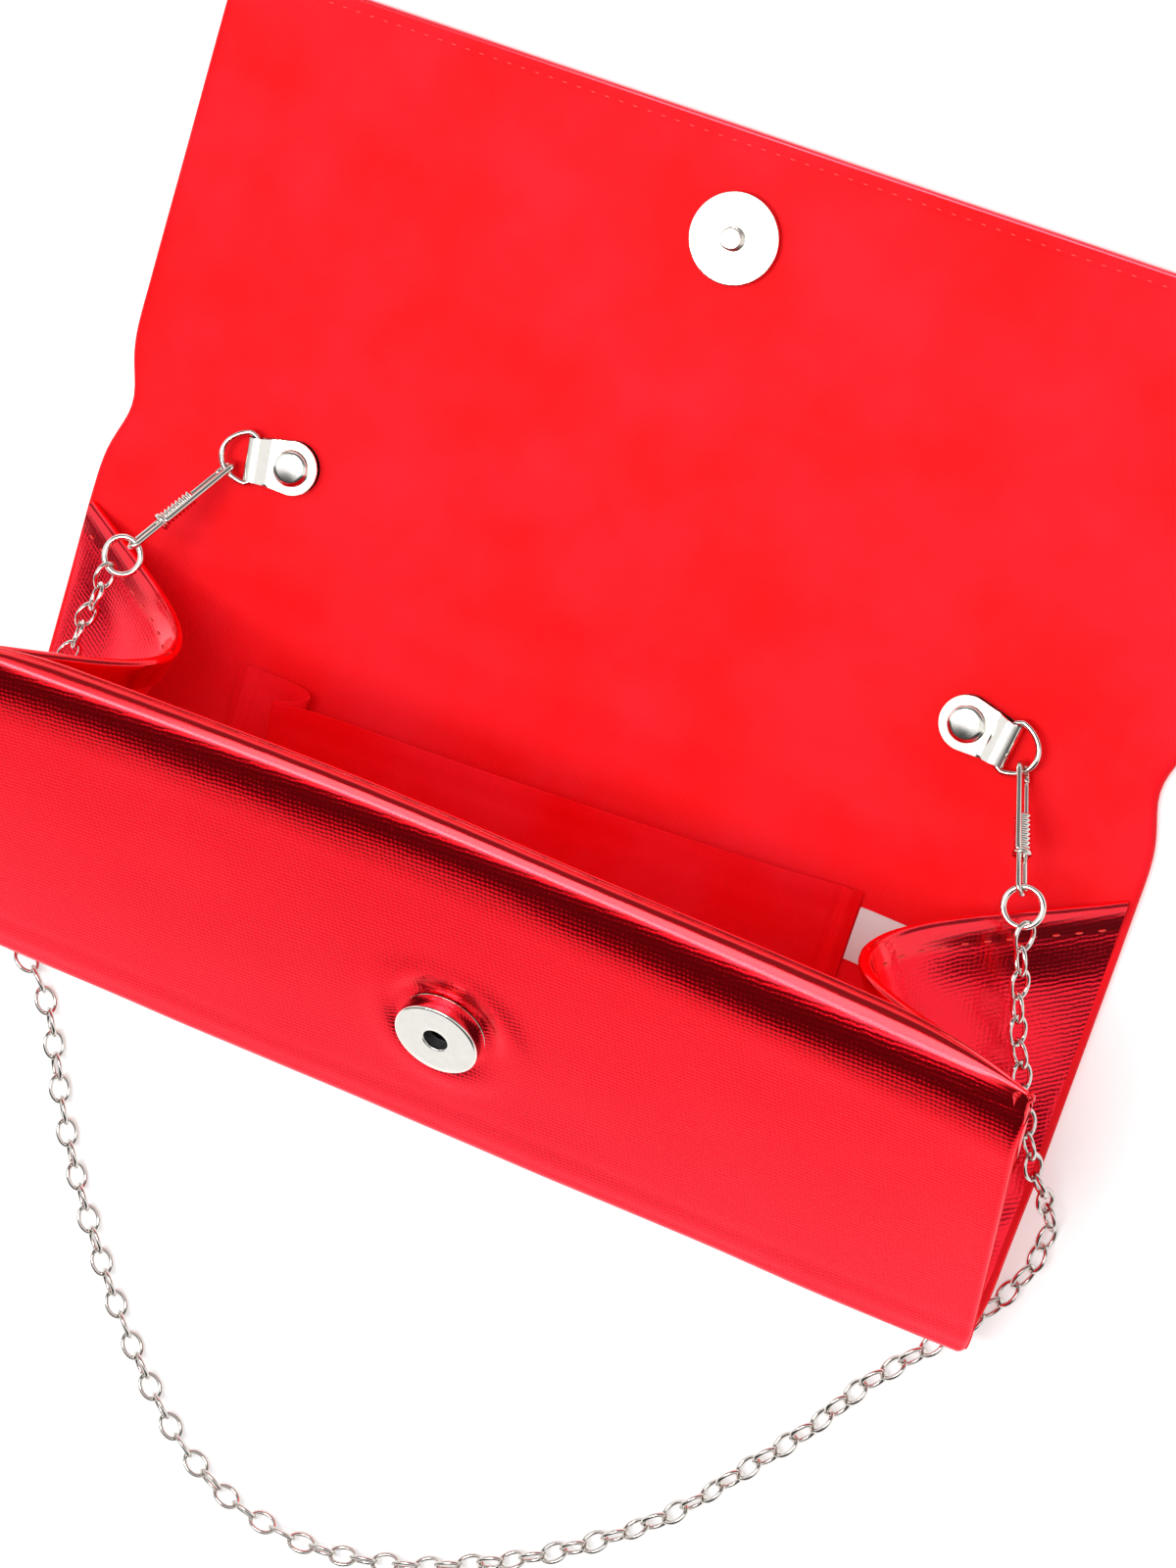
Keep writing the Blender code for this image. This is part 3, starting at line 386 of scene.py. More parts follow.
# %% [markdown]
# ## Table, room and lamps
# The photograph is high-key: the table runs into a white room and only a faint shadow stays.  The table
# is pale and adds a little white of its own where the camera or a mirror looks at it, so it reads white
# without more light on the bag.  The room the metal mirrors is white with a darker band, as between a
# low sweep and an overhead softbox, which draws the dark lines along the leather's rolls.

# %% Table
TABLE_SIZE = 4000.0
TABLE_GREY = 0.86
TABLE_GLOW = 0.36
DIRECT_RAYS = ("Is Camera Ray", "Is Glossy Ray", "Is Transmission Ray")


def seen_directly(finish):
    """1 for rays from the camera, from mirrors and through glass, else 0."""
    rays = [finish.node("ShaderNodeLightPath", {}, {}, name) for name in DIRECT_RAYS]
    return rays[0].highest(rays[1]).highest(rays[2])


def make_table():
    half = 0.5 * TABLE_SIZE
    corners = [(-half, -half, 0.0), (half, -half, 0.0), (half, half, 0.0), (-half, half, 0.0)]
    mesh = bpy.data.meshes.new("table")
    mesh.from_pydata(to_world(corners).tolist(), [], [(0, 1, 2, 3)])
    table = bpy.data.objects.new("table", mesh)
    bpy.context.scene.collection.objects.link(table)
    finish = new_finish("white_table", Roughness=0.5, Specular_IOR_Level=0.2, Emission_Strength=1.0)
    glow = two_tone(finish, seen_directly(finish), [0.0] * 3, [TABLE_GLOW] * 3)
    finish.feed(finish.shader, {"Base Color": (*[TABLE_GREY] * 3, 1.0), "Emission Color": glow})
    mesh.materials.append(finish.material)
    return table


table = make_table()
print("table:", TABLE_SIZE, "mm square")

# %% Room and lamps
ROOM_LIGHT = 0.62
SKYLINE = [(-1.0, 0.0), (-0.9, 0.0), (-0.5, 0.34), (-0.4, 0.32), (-0.1, 0.17), (0.0, 0.13), (1.0, 0.13)]
SKYLINE_SOFT = 0.20
BEHIND = 0.2
DARK = 0.05
ARCH_FRONT = (-0.33, -0.22)
ARCH_BACK = (0.25, 0.45)


def make_room():
    """White light for cloth; mirrors see a white sweep, a dark sky over it and a white arch overhead.

    The skyline's height changes with the direction's x, and the arch spans the bag from left to right.
    """
    world = bpy.data.worlds.new("room")
    world.use_nodes = True
    bpy.context.scene.world = world
    finish = Finish(world.node_tree)
    direction = finish.node("ShaderNodeTexCoord", {}, {}, "Generated")
    dx, dy, dz = split(finish, direction)
    stops = [(0.5 + 0.5 * place, (height, height, height)) for place, height in SKYLINE]
    skyline = finish.node("ShaderNodeValToRGB", {"stops": stops}, {0: dx * 0.5 + 0.5})
    sweep = 1.0 - dz.step(skyline, skyline + SKYLINE_SOFT)
    arch = dy.step(*ARCH_FRONT) * (1.0 - dy.step(*ARCH_BACK) * (1.0 - BEHIND))
    mirrored = sweep.highest(arch).highest(DARK)
    glossy = finish.node("ShaderNodeLightPath", {}, {}, "Is Glossy Ray")
    plain = two_tone(finish, seen_directly(finish), [ROOM_LIGHT] * 3, [1.0] * 3)
    colour = finish.node("ShaderNodeMix", {"data_type": "RGBA"}, {"Factor": glossy, 6: plain, 7: mirrored}, 2)
    finish.feed(world.node_tree.nodes["Background"], {"Color": colour, "Strength": 1.0})


def make_lamp(name, place, aim, width, depth, power):
    """A softbox at a place, turned towards an aim."""
    data = bpy.data.lights.new(name, "AREA")
    data.shape = "RECTANGLE"
    data.size = width * MM
    data.size_y = depth * MM
    data.energy = power
    lamp = bpy.data.objects.new(name, data)
    bpy.context.scene.collection.objects.link(lamp)
    start = to_world(place)
    back = start - to_world(aim)
    back /= np.linalg.norm(back)
    side = np.cross([0.0, 1.0, 0.0], back)
    side /= np.linalg.norm(side)
    turn = np.eye(4)
    turn[:3, :3] = np.stack([side, np.cross(back, side), back], axis=1)
    turn[:3, 3] = start
    lamp.matrix_world = Matrix(turn.tolist())
    return lamp


make_room()
BAG_MIDDLE = (0.0, 90.0, 0.0)
FRONT_MIDDLE = (0.0, 60.0, 0.0)
make_lamp("overhead", (-150.0, 330.0, 1100.0), BAG_MIDDLE, 520.0, 520.0, 3.4)
make_lamp("strip", (-330.0, 0.0, 1100.0), BAG_MIDDLE, 800.0, 150.0, 3.6)
fill = make_lamp("fill", (500.0, -600.0, 700.0), FRONT_MIDDLE, 500.0, 500.0, 0.6)
fill.visible_glossy = False
bpy.context.scene.view_settings.view_transform = "Standard"
print("room light", ROOM_LIGHT)

# %% [markdown]
# ## Surfaces as arrays
# Every new piece is a grid of points worked out at once: a shape is a function of two parameters, or a
# profile carried along a path.  These helpers turn a grid into a mesh, give cloth its cut coordinates,
# sweep round wire along a path and turn a profile about an axis.

# %% Grid, tube and turned helpers


def grid_faces(rows, cols, wrap_rows=False, wrap_cols=False, flip=False):
    """Quads of a rows by cols grid of points, numbered row by row; a wrapped side joins its start."""
    i, k = np.meshgrid(
        np.arange(rows if wrap_rows else rows - 1), np.arange(cols if wrap_cols else cols - 1), indexing="ij")
    i2 = (i + 1) % rows
    k2 = (k + 1) % cols
    quads = np.stack([i * cols + k, i2 * cols + k, i2 * cols + k2, i * cols + k2], axis=-1).reshape(-1, 4)
    return quads[:, ::-1] if flip else quads


def make_piece(name, points, faces, finish, cut=None, sharp=50.0, press=None):
    """A mesh object from bag millimetres; cut gives the points' cloth coordinates, press their grain."""
    mesh = bpy.data.meshes.new(name)
    quads = faces.tolist() if isinstance(faces, np.ndarray) else faces
    mesh.from_pydata(to_world(np.reshape(points, (-1, 3))).tolist(), [], quads)
    if cut is not None:
        corner = np.empty(len(mesh.loops), np.int32)
        mesh.loops.foreach_get("vertex_index", corner)
        layer = mesh.uv_layers.new(name="cut")
        layer.data.foreach_set("uv", (np.reshape(cut, (-1, 2))[corner] * MM).astype(np.float32).ravel())
    if press is not None:
        grain = np.broadcast_to(press, np.shape(points)[:2]).astype(np.float32).ravel()
        mesh.attributes.new("press", "FLOAT", "POINT").data.foreach_set("value", grain)
    mesh.shade_smooth()
    mesh.set_sharp_from_angle(angle=math.radians(sharp))
    sides = np.empty(len(mesh.loops), np.int32)
    mesh.loops.foreach_get("edge_index", sides)
    hard = np.empty(len(mesh.edges), bool)
    mesh.edges.foreach_get("use_edge_sharp", hard)
    hard |= np.bincount(sides, minlength=len(mesh.edges)) == 1
    mesh.edges.foreach_set("use_edge_sharp", hard)
    mesh.materials.append(finish)
    piece = bpy.data.objects.new(name, mesh)
    bpy.context.scene.collection.objects.link(piece)
    return piece


def thicken(piece, thickness):
    """Give a sheet its thickness on the side away from its face."""
    wall = piece.modifiers.new("thickness", "SOLIDIFY")
    wall.thickness = thickness * MM
    wall.offset = -1.0
    wall.use_even_offset = False
    return piece


def unit(vectors):
    """Vectors scaled to length 1."""
    vectors = np.asarray(vectors, float)
    return vectors / np.linalg.norm(vectors, axis=-1, keepdims=True)


def smooth_curve(knots, steps):
    """Close points on the smooth curve through knots.

    Each stretch between knots p1 and p2 is the cubic whose end slopes are half the step between their
    neighbours: p1 + t/2 (p2 - p0 + t (2 p0 - 5 p1 + 4 p2 - p3 + t (3 (p1 - p2) + p3 - p0))).
    """
    knots = np.asarray(knots, float)
    ends = np.vstack([2 * knots[0] - knots[1], knots, 2 * knots[-1] - knots[-2]])
    p0, p1, p2, p3 = (ends[k:len(ends) - 3 + k, None, :] for k in range(4))
    t = np.linspace(0.0, 1.0, steps, endpoint=False)[None, :, None]
    cubic = 2 * p0 - 5 * p1 + 4 * p2 - p3 + t * (3 * (p1 - p2) + p3 - p0)
    inner = p1 + 0.5 * t * (p2 - p0 + t * cubic)
    return np.vstack([inner.reshape(-1, knots.shape[1]), knots[-1:]])


def lengths(curve):
    """Distance along a polyline at each of its points."""
    return np.concatenate([[0.0], np.cumsum(np.linalg.norm(np.diff(curve, axis=0), axis=1))])


def points_at(curve, stops):
    """Points of a polyline at given distances along it."""
    along = lengths(curve)
    return np.stack([np.interp(stops, along, curve[:, k]) for k in range(curve.shape[1])], axis=1)


def tube_points(path, normal, radii, sides, closed):
    """A round section carried along a path that stays near one plane.

    Each ring lies in the plane across the path: it is spanned by the path's plane normal and by the cross
    product of the path's direction with that normal.
    """
    path = np.asarray(path, float)
    if closed:
        ahead = np.roll(path, -1, axis=0) - np.roll(path, 1, axis=0)
    else:
        ahead = np.gradient(path, axis=0)
    ahead = unit(ahead)
    side = unit(np.cross(ahead, normal))
    lift = np.cross(side, ahead)
    angle = 2.0 * np.pi * np.arange(sides) / sides
    ring = np.cos(angle)[None, :, None] * side[:, None, :] + np.sin(angle)[None, :, None] * lift[:, None, :]
    return path[:, None, :] + np.broadcast_to(radii, len(path))[:, None, None] * ring


def round_ends(path, radius, steps=5):
    """An open path and its radii, run on by a dome at each end: radius cos a, reach radius sin a."""
    angle = np.linspace(0.0, 0.48 * np.pi, steps)[1:]
    first = unit(path[0] - path[1])
    last = unit(path[-1] - path[-2])
    reach = radius * np.sin(angle)[:, None]
    whole = np.vstack([(path[0] + reach * first)[::-1], path, path[-1] + reach * last])
    small = radius * np.cos(angle)
    return whole, np.concatenate([small[::-1], np.full(len(path), radius), small])


def turned_points(profile, origin, axis, steps):
    """A (radius, height) profile turned about an axis, one ring of points for each step of the profile."""
    axis = unit(axis)
    across = unit(np.cross(axis, [0.31, 0.57, 0.76]))
    other = np.cross(axis, across)
    angle = 2.0 * np.pi * np.arange(steps) / steps
    ring = np.cos(angle)[:, None] * across + np.sin(angle)[:, None] * other
    profile = np.asarray(profile, float)
    return origin + profile[:, 0, None, None] * ring[None] + (profile[:, 1, None] * axis)[:, None, :]


def capped(rows, cols, flip=False):
    """Faces of a wrapped grid whose first and last rings are closed by one face each."""
    faces = grid_faces(rows, cols, wrap_cols=True, flip=flip).tolist()
    first = list(range(cols))
    last = list(range((rows - 1) * cols, rows * cols))
    faces += [first[::-1], last] if flip else [first, last[::-1]]
    return faces


def ripple(x, y, wavelength, seed, count=7):
    """Smooth random height of about -1 to 1: the sum of plane waves of one length in seeded directions."""
    rng = np.random.default_rng(seed)
    angle = rng.uniform(0.0, 2.0 * np.pi, count)
    phase = rng.uniform(0.0, 2.0 * np.pi, count)
    stretch = rng.uniform(0.75, 1.3, count)
    wave = 2.0 * np.pi * stretch / wavelength
    x = np.asarray(x, float)[..., None]
    y = np.asarray(y, float)[..., None]
    waves = np.sin(wave * (x * np.cos(angle) + y * np.sin(angle)) + phase)
    return waves.sum(-1) * math.sqrt(2.0 / count) * 0.6


def bell(distance, width):
    """1 at distance 0, falling smoothly away over a width: exp(-(d / w)^2)."""
    return np.exp(-(np.asarray(distance) / width) ** 2)


def ease(value, low, high):
    """0 below low, 1 above high, smooth between: 3 t^2 - 2 t^3."""
    t = np.clip((np.asarray(value, float) - low) / (high - low), 0.0, 1.0)
    return t * t * (3.0 - 2.0 * t)


def make_sheet(name, points, finish, thickness, cut=None, press=None, flip=False):
    """A grid of points as a sheet with a thickness."""
    faces = grid_faces(*points.shape[:2], flip=flip)
    return thicken(make_piece(name, points, faces, finish, cut, press=press), thickness)


def stand_for(piece, nodes, body=None):
    """Show a piece in place of frame nodes, and let it ride on a body if one is named."""
    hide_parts(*nodes)
    if body is not None:
        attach(piece, body)
    return piece


def inside_out(points, path):
    """Whether a tube's faces would look inwards, judged at the start of its path."""
    turn = np.cross(points[1, 0] - points[0, 0], points[0, 1] - points[0, 0])
    return bool(np.dot(turn, points[0, 0] - path[0]) < 0.0)


print("surface helpers ready")

# %% [markdown]
# ## Where the fittings hang
# The chain starts at a ring, the ring hangs on a clip, and the clip hooks into a D-ring on a riveted
# tab.  Each place follows from the hinges of the frame: the D-ring's bar, the hook and its direction.

# %% Axes of the tabs, clips and rings
TAB_TILT = math.radians(7.0)
D_REST_TILT = math.radians(9.0)
CLIP_HEADING = math.radians(26.2)
CLIP_RISE = math.radians(35.0)
CLIP_ROLL = {"left": math.radians(30.0), "right": math.radians(12.0)}
CLIP_LENGTH = 24.0
RING_RADIUS = 3.8
RING_WIRE = 0.65
RING_TILT = math.radians(10.0)
CHAIN_GAP = 0.3


def turn_about(vector, axis, angle):
    """A vector turned about a unit axis: v cos a + (k x v) sin a + k (k . v)(1 - cos a)."""
    return (vector * math.cos(angle) + np.cross(axis, vector) * math.sin(angle)
            + axis * np.dot(axis, vector) * (1.0 - math.cos(angle)))


def clip_axes(name):
    """A clip's hook point, its length direction, the direction to its arm, and its heading on the table."""
    side = SIDES[name]
    hook = hinge_point(f"clip_swivel_{name}")
    heading = np.array([side * math.sin(CLIP_HEADING), -math.cos(CLIP_HEADING), 0.0])
    along = math.cos(CLIP_RISE) * heading + math.sin(CLIP_RISE) * UP
    arm = unit(np.cross(unit(np.cross(heading, UP)), along))
    arm = arm if arm[2] > 0.0 else -arm
    return hook, along, turn_about(arm, along, side * CLIP_ROLL[name]), heading


def ring_axes(name):
    """A jump ring's centre, the way it leans, and its level direction."""
    hook, along, _, heading = clip_axes(name)
    lean = math.cos(RING_TILT) * heading + math.sin(RING_TILT) * UP
    level = unit(np.cross(heading, UP))
    return hook + CLIP_LENGTH * along + RING_RADIUS * lean, lean, level


def chain_start(name):
    """Where the chain's line leaves the ring."""
    centre, lean, _ = ring_axes(name)
    return centre + (RING_RADIUS + RING_WIRE + CHAIN_GAP) * lean


print("chain starts at", np.round(chain_start("left"), 1), "and", np.round(chain_start("right"), 1))

# %% [markdown]
# ## Chain strap
# The strap is a cable chain: about a hundred oval wire links, each turned across the next.  It climbs
# from the table over each gusset to its ring.  A link is an ellipse with a round wire carried round it,
# and all links are made in one array, set along the listed route one pitch apart.

# %% Chain route
CHAIN_LEFT_ROUTE = [
    (-99.6, 82.6, 20.6), (-101.0, 77.6, 19.8), (-102.2, 72.0, 18.9), (-103.9, 66.2, 17.8),
    (-106.6, 59.4, 16.2), (-110.0, 51.4, 14.4), (-113.6, 43.2, 12.4), (-117.3, 36.6, 8.6),
    (-120.0, 31.4, 4.4), (-120.9, 26.0, 2.6),
]
CHAIN_FLOOR_ROUTE = [
    (-120.2, 19.6, 2.4), (-118.0, 12.6, 2.4), (-113.8, 5.2, 2.4), (-106.5, -0.6, 2.4), (-98.6, -5.4, 2.4),
    (-92.6, -13.0, 2.4), (-87.4, -24.0, 2.4), (-81.8, -35.4, 2.4), (-75.6, -46.0, 2.4), (-69.0, -55.8, 2.4),
    (-61.5, -66.0, 2.4), (-53.0, -76.2, 2.4), (-44.2, -85.4, 2.4), (-34.5, -93.4, 2.4), (-22.5, -99.2, 2.4),
    (-9.0, -101.4, 2.4), (3.3, -100.6, 2.4), (20.2, -95.5, 2.4), (39.0, -85.5, 2.4), (54.5, -74.0, 2.4),
    (69.0, -60.0, 2.4), (80.0, -44.7, 2.4), (90.2, -29.8, 2.4), (96.8, -17.8, 2.4), (104.0, -7.9, 2.4),
    (108.6, -1.6, 2.4), (113.0, 4.6, 2.4), (117.2, 12.0, 2.4), (119.9, 19.0, 2.4),
]
CHAIN_RIGHT_ROUTE = [
    (120.8, 26.0, 2.6), (119.9, 31.6, 4.4), (117.2, 36.8, 8.6), (113.5, 43.4, 12.4), (109.9, 51.6, 14.4),
    (106.6, 59.8, 16.1), (104.0, 66.4, 17.6), (102.2, 72.0, 18.9), (101.0, 77.6, 19.8), (99.6, 82.6, 20.6),
]
ROUTE_STEPS = 12
left_route = [chain_start("left"), *CHAIN_LEFT_ROUTE]
right_route = [*CHAIN_RIGHT_ROUTE, chain_start("right")]
route = smooth_curve(np.vstack([left_route, CHAIN_FLOOR_ROUTE, right_route]), ROUTE_STEPS)
route_along = lengths(route)
floor_from = route_along[ROUTE_STEPS * (len(left_route) - 1)]
floor_to = route_along[ROUTE_STEPS * (len(left_route) + len(CHAIN_FLOOR_ROUTE))]
print(f"chain {route_along[-1]:.1f} mm, of which {floor_to - floor_from:.1f} mm lie on the table")

# %% Chain links
LINK_LENGTH = 6.8
LINK_WIDTH = 5.3
LINK_WIRE = 0.5
LINK_PITCH = 4.82
LINK_LEAN = math.radians(52.0)
LINK_SHAKE = math.radians(9.0)
LINK_STEPS = 24
LINK_SIDES = 8


def link_points(stops, leans):
    """Links at given distances along the route, each an ellipse of wire leaning about the route's line."""
    long = 0.5 * LINK_LENGTH - LINK_WIRE
    wide = 0.5 * LINK_WIDTH - LINK_WIRE
    centre = points_at(route, stops)
    ahead = unit(points_at(route, stops + 1.5) - points_at(route, stops - 1.5))
    side = unit(np.cross(ahead, UP))
    lift = np.cross(side, ahead)
    flat = np.cos(leans)[:, None] * side + np.sin(leans)[:, None] * lift
    face = np.cross(ahead, flat)
    a = 2.0 * np.pi * np.arange(LINK_STEPS) / LINK_STEPS
    b = 2.0 * np.pi * np.arange(LINK_SIDES) / LINK_SIDES
    out = unit(np.stack([np.cos(a) / long, np.sin(a) / wide], axis=1))
    line = np.stack([long * np.cos(a), wide * np.sin(a)], axis=1)
    in_plane = line[:, None, :] + LINK_WIRE * np.cos(b)[None, :, None] * out[:, None, :]
    through = np.broadcast_to(LINK_WIRE * np.sin(b), in_plane.shape[:2])
    return (centre[:, None, None, :] + in_plane[None, ..., 0, None] * ahead[:, None, None, :]
            + in_plane[None, ..., 1, None] * flat[:, None, None, :]
            + through[None, ..., None] * face[:, None, None, :])


first_stop = 0.5 * LINK_LENGTH - LINK_WIRE - (RING_WIRE + LINK_WIRE + RING_WIRE + CHAIN_GAP)
link_span = route_along[-1] - 2.0 * first_stop
link_count = round(link_span / LINK_PITCH) + 1
link_stops = first_stop + link_span * np.arange(link_count) / (link_count - 1)
shake = np.random.default_rng(4).uniform(-LINK_SHAKE, LINK_SHAKE, link_count)
link_leans = np.where(np.arange(link_count) % 2 == 0, LINK_LEAN, -LINK_LEAN) + shake
one_link = grid_faces(LINK_STEPS, LINK_SIDES, wrap_rows=True, wrap_cols=True, flip=True)


def chain_piece(name, chosen):
    points = link_points(link_stops[chosen], link_leans[chosen])
    points[..., 2] += np.clip(-points[..., 2].min(axis=(1, 2)), 0.0, None)[:, None, None]
    count = int(chosen.sum())
    faces = (one_link[None] + (LINK_STEPS * LINK_SIDES * np.arange(count))[:, None, None]).reshape(-1, 4)
    piece = make_piece(name, points, faces, chain_steel)
    print(name, count, "links")
    return piece


on_left = link_stops < floor_from
on_right = link_stops > floor_to
chain_left = chain_piece("chain_links_left", on_left)
chain_floor = chain_piece("chain_links_floor", ~on_left & ~on_right)
chain_right = chain_piece("chain_links_right", on_right)


def lay_cord(piece, node, body=None):
    """Hide a stretch's frame node; the table stretch rides on the root, an end stretch is baked in place."""
    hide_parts(node)
    if body is None:
        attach(piece, "root")
    else:
        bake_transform(piece)


lay_cord(chain_left, "chain_left", "chain_left")
lay_cord(chain_floor, "chain_floor")
lay_cord(chain_right, "chain_right", "chain_right")

# %% [markdown]
# ## Panels: one section carried across the bag
# Leather, board and lining lie on each other in a sandwich about 3 mm thick.  Seen from the side, the
# leather's outer face is one line: down the inside of the rim, over it, down the front, round the
# bottom fold and along the back to the flap.  That line is the path, and a profile across the bag, flat
# with rolled side edges, is carried along it.  The piece is split so that each crease lies in a piece of its
# own.

# %% Section of the body, band and flap


def section(*runs):
    """Join runs of (y, z) points into a path with its inward normals and cut coordinate (the length)."""
    path = np.vstack([runs[0], *[run[1:] for run in runs[1:]]])
    ahead = unit(np.gradient(path, axis=0))
    return path, np.stack([-ahead[:, 1], ahead[:, 0]], axis=1), lengths(path)


def straight(start, end, count):
    """Points from start to end."""
    share = np.linspace(0.0, 1.0, count)[:, None]
    return np.asarray(start) + share * (np.asarray(end) - np.asarray(start))


def bow(centre, radius, start, end, count):
    """Points of a (y, z) arc, angles in radians from +y towards +z."""
    angle = np.linspace(start, end, count)[:, None]
    return np.asarray(centre) + radius * np.hstack([np.cos(angle), np.sin(angle)])


def curl_rise(y):
    """Height of the back above the table: nothing on the flat, then half a cosine wave up to the fold."""
    share = np.clip((CURL_LOW - np.asarray(y)) / (CURL_LOW - CURL_HIGH), 0.0, 1.0)
    return 0.5 * FOLD_RISE * (1.0 - np.cos(np.pi * share))


def back_runs(end):
    """Bottom fold, the curl up from the table and the flat back, as far as y = end."""
    y = np.linspace(CURL_HIGH, CURL_LOW, 18)
    curl = np.stack([y, curl_rise(y)], axis=1)
    return [
        bow(FOLD_CENTRE, FOLD_RADIUS, 0.5 * np.pi + FRONT_ANGLE, 1.5 * np.pi, 18),
        straight((FOLD_CENTRE[0], FOLD_RISE), (CURL_HIGH, FOLD_RISE), 8), curl,
        straight((CURL_LOW, 0.0), (end, 0.0), 5),
    ]


RIM_FROM = 69.4
RIM_RADII = [
    (0.0, 45.0), (6.0, 38.0), (14.0, 28.0), (22.0, 15.0), (32.0, 9.0), (44.0, 6.0), (54.0, 3.4), (90.0, 1.5)]
RIM_FLAT = 1.2
RIM_INNER = 0.6
RIM_GROOVE = 0.25
FRONT_STEPS = 70


def on_front(up, depth):
    """(y, z) points at a height up the front and a depth behind its outer face."""
    up = np.atleast_1d(up)[:, None]
    return FRONT_START + up * FRONT_ALONG - np.atleast_1d(depth)[:, None] * FRONT_OUT


def rim_runs():
    """The rim from inside to outside: turned strip, inner corner, grooved top, and a roll over to the front.

    The roll turns through a quarter circle while its radius shrinks from the front to the top, so its line is
    the running sum of radius times the (cosine, sine) of the angle.
    """
    turn = np.linspace(0.0, 0.5 * np.pi, 61)
    middle = 0.5 * (turn[1:] + turn[:-1])
    step = np.interp(np.degrees(middle), *zip(*RIM_RADII)) * turn[1]
    roll_up = RIM_FROM + np.concatenate([[0.0], np.cumsum(step * np.cos(middle))])
    roll_in = np.concatenate([[0.0], np.cumsum(step * np.sin(middle))])
    flat = np.linspace(0.0, RIM_FLAT, 21)
    flat_up = roll_up[-1] - RIM_GROOVE * bell(flat - 0.5 * RIM_FLAT, 0.3)
    flat_in = roll_in[-1] + flat
    corner = np.linspace(0.5 * np.pi, np.pi, 8)
    corner_up = roll_up[-1] - RIM_INNER + RIM_INNER * np.sin(corner)
    corner_in = flat_in[-1] - RIM_INNER * np.cos(corner)
    strip_up = np.linspace(corner_up[-1], corner_up[-1] - RIM_TURN, 8)
    strip_in = np.linspace(corner_in[-1], STACK + 0.3, 8)
    lines = ((strip_up, strip_in), (corner_up, corner_in), (flat_up, flat_in), (roll_up, roll_in))
    return [on_front(up[::-1], depth[::-1]) for up, depth in lines]


rim_part = rim_runs()
body_path, body_normal, body_cut = section(
    *rim_part, on_front(np.linspace(RIM_FROM, 0.0, FRONT_STEPS), 0.0), *back_runs(BACK_SEAM))
body_cut += BACK_SEAM - body_cut[-1]
roll_rows = sum(len(run) - 1 for run in rim_part)
front_rows = roll_rows + FRONT_STEPS
front_low_cut = body_cut[front_rows - 1]
print(f"body section {np.ptp(body_cut):.1f} mm long in {len(body_path)} points")

# %% [markdown]
# ## The front isn't flat
# With the bag open the front's ends spring outwards more than its middle, most at the right.  The bow is
# a shift along the front's outward direction, nothing at the bottom fold and most at the rim, where the
# right end rolls back again.  Both ends of the rim close up to a point.

# %% Bow of the front
BOW_MIDDLE = -25.0
BOW_LEFT = 2.8
BOW_RIGHT = 7.6
ROLL_FROM = 68.0
ROLL_RADIUS = 60.0
RIM_THINNED = 0.8
RIM_KEPT = 1.8
RIM_DROP = 1.2
RIM_END = 30.0


def front_bow(x, up):
    """Outward shift of the front at a place: grows with distance from the middle and with height."""
    left = BOW_LEFT * (np.clip(BOW_MIDDLE - x, 0.0, None) / (BOW_MIDDLE + HALF_WIDTH)) ** 1.7
    right = BOW_RIGHT * (np.clip(x - BOW_MIDDLE, 0.0, None) / (HALF_WIDTH - BOW_MIDDLE)) ** 1.7
    back = ease(x, 10.0, 105.0) * np.clip(up - ROLL_FROM, 0.0, None) ** 2 / (2.0 * ROLL_RADIUS)
    return (left + right) * (np.clip(up, 0.0, None) / FRONT_HEIGHT) ** 1.2 - back


def bowed(points, rows):
    """Points of a sheet whose first rows lie on the front, moved out by the bow."""
    moved = points.copy()
    up = (points[:rows, :, 1:] - FRONT_START) @ FRONT_ALONG
    moved[:rows, :, 1:] += front_bow(points[:rows, :, 0], up)[..., None] * FRONT_OUT
    return moved


def thinned(points, line):
    """Rim points closed up towards both ends, by the square of the nearness to the end.

    A row whose section line lies deep behind the front is moved out, and a little down.
    """
    depth = -((line - FRONT_START) @ FRONT_OUT)[:, None]
    near_end = np.clip(1.0 - (HALF_WIDTH - np.abs(points[:len(line), :, 0])) / RIM_END, 0.0, 1.0) ** 2
    out = RIM_THINNED * near_end * np.clip(depth - RIM_KEPT, 0.0, None)
    drop = RIM_DROP * near_end * ease(depth, 0.5, 4.0)
    moved = points.copy()
    moved[:len(line), :, 1:] += out[..., None] * FRONT_OUT - drop[..., None] * FRONT_ALONG
    return moved


print("rim moves out", np.round(front_bow(np.array([-100.0, 0.0, 100.0]), FRONT_HEIGHT), 1), "mm")

# %% [markdown]
# ## Leather of the body
# The leather is soft over a stiff board, so its face isn't a plane.  It thins towards the rolled rim,
# sinks in a soft crease a finger's width above the bottom, and puckers round the snap.  Those are small
# depths added along the inward normal, as a function of the place on the panel.

# %% Profile across a panel and the leather's relief
EDGE_ROLL = 0.5 * STACK
LEATHER_THICKNESS = 0.5
SNAP_UP_FRONT = 33.0
CREASE_UP_FRONT = 8.0
RIM_PLAIN_ROWS = 34
RIM_PRESSED_ROWS = 14
RIM_CAP_ROWS = 10
NOTCH_AT = 117.5
NOTCH_DEPTH = 3.3
NOTCH_SPREAD = 8.5
FOLD_DRAWN_IN = 1.6
FOLD_SPREAD = 7.0


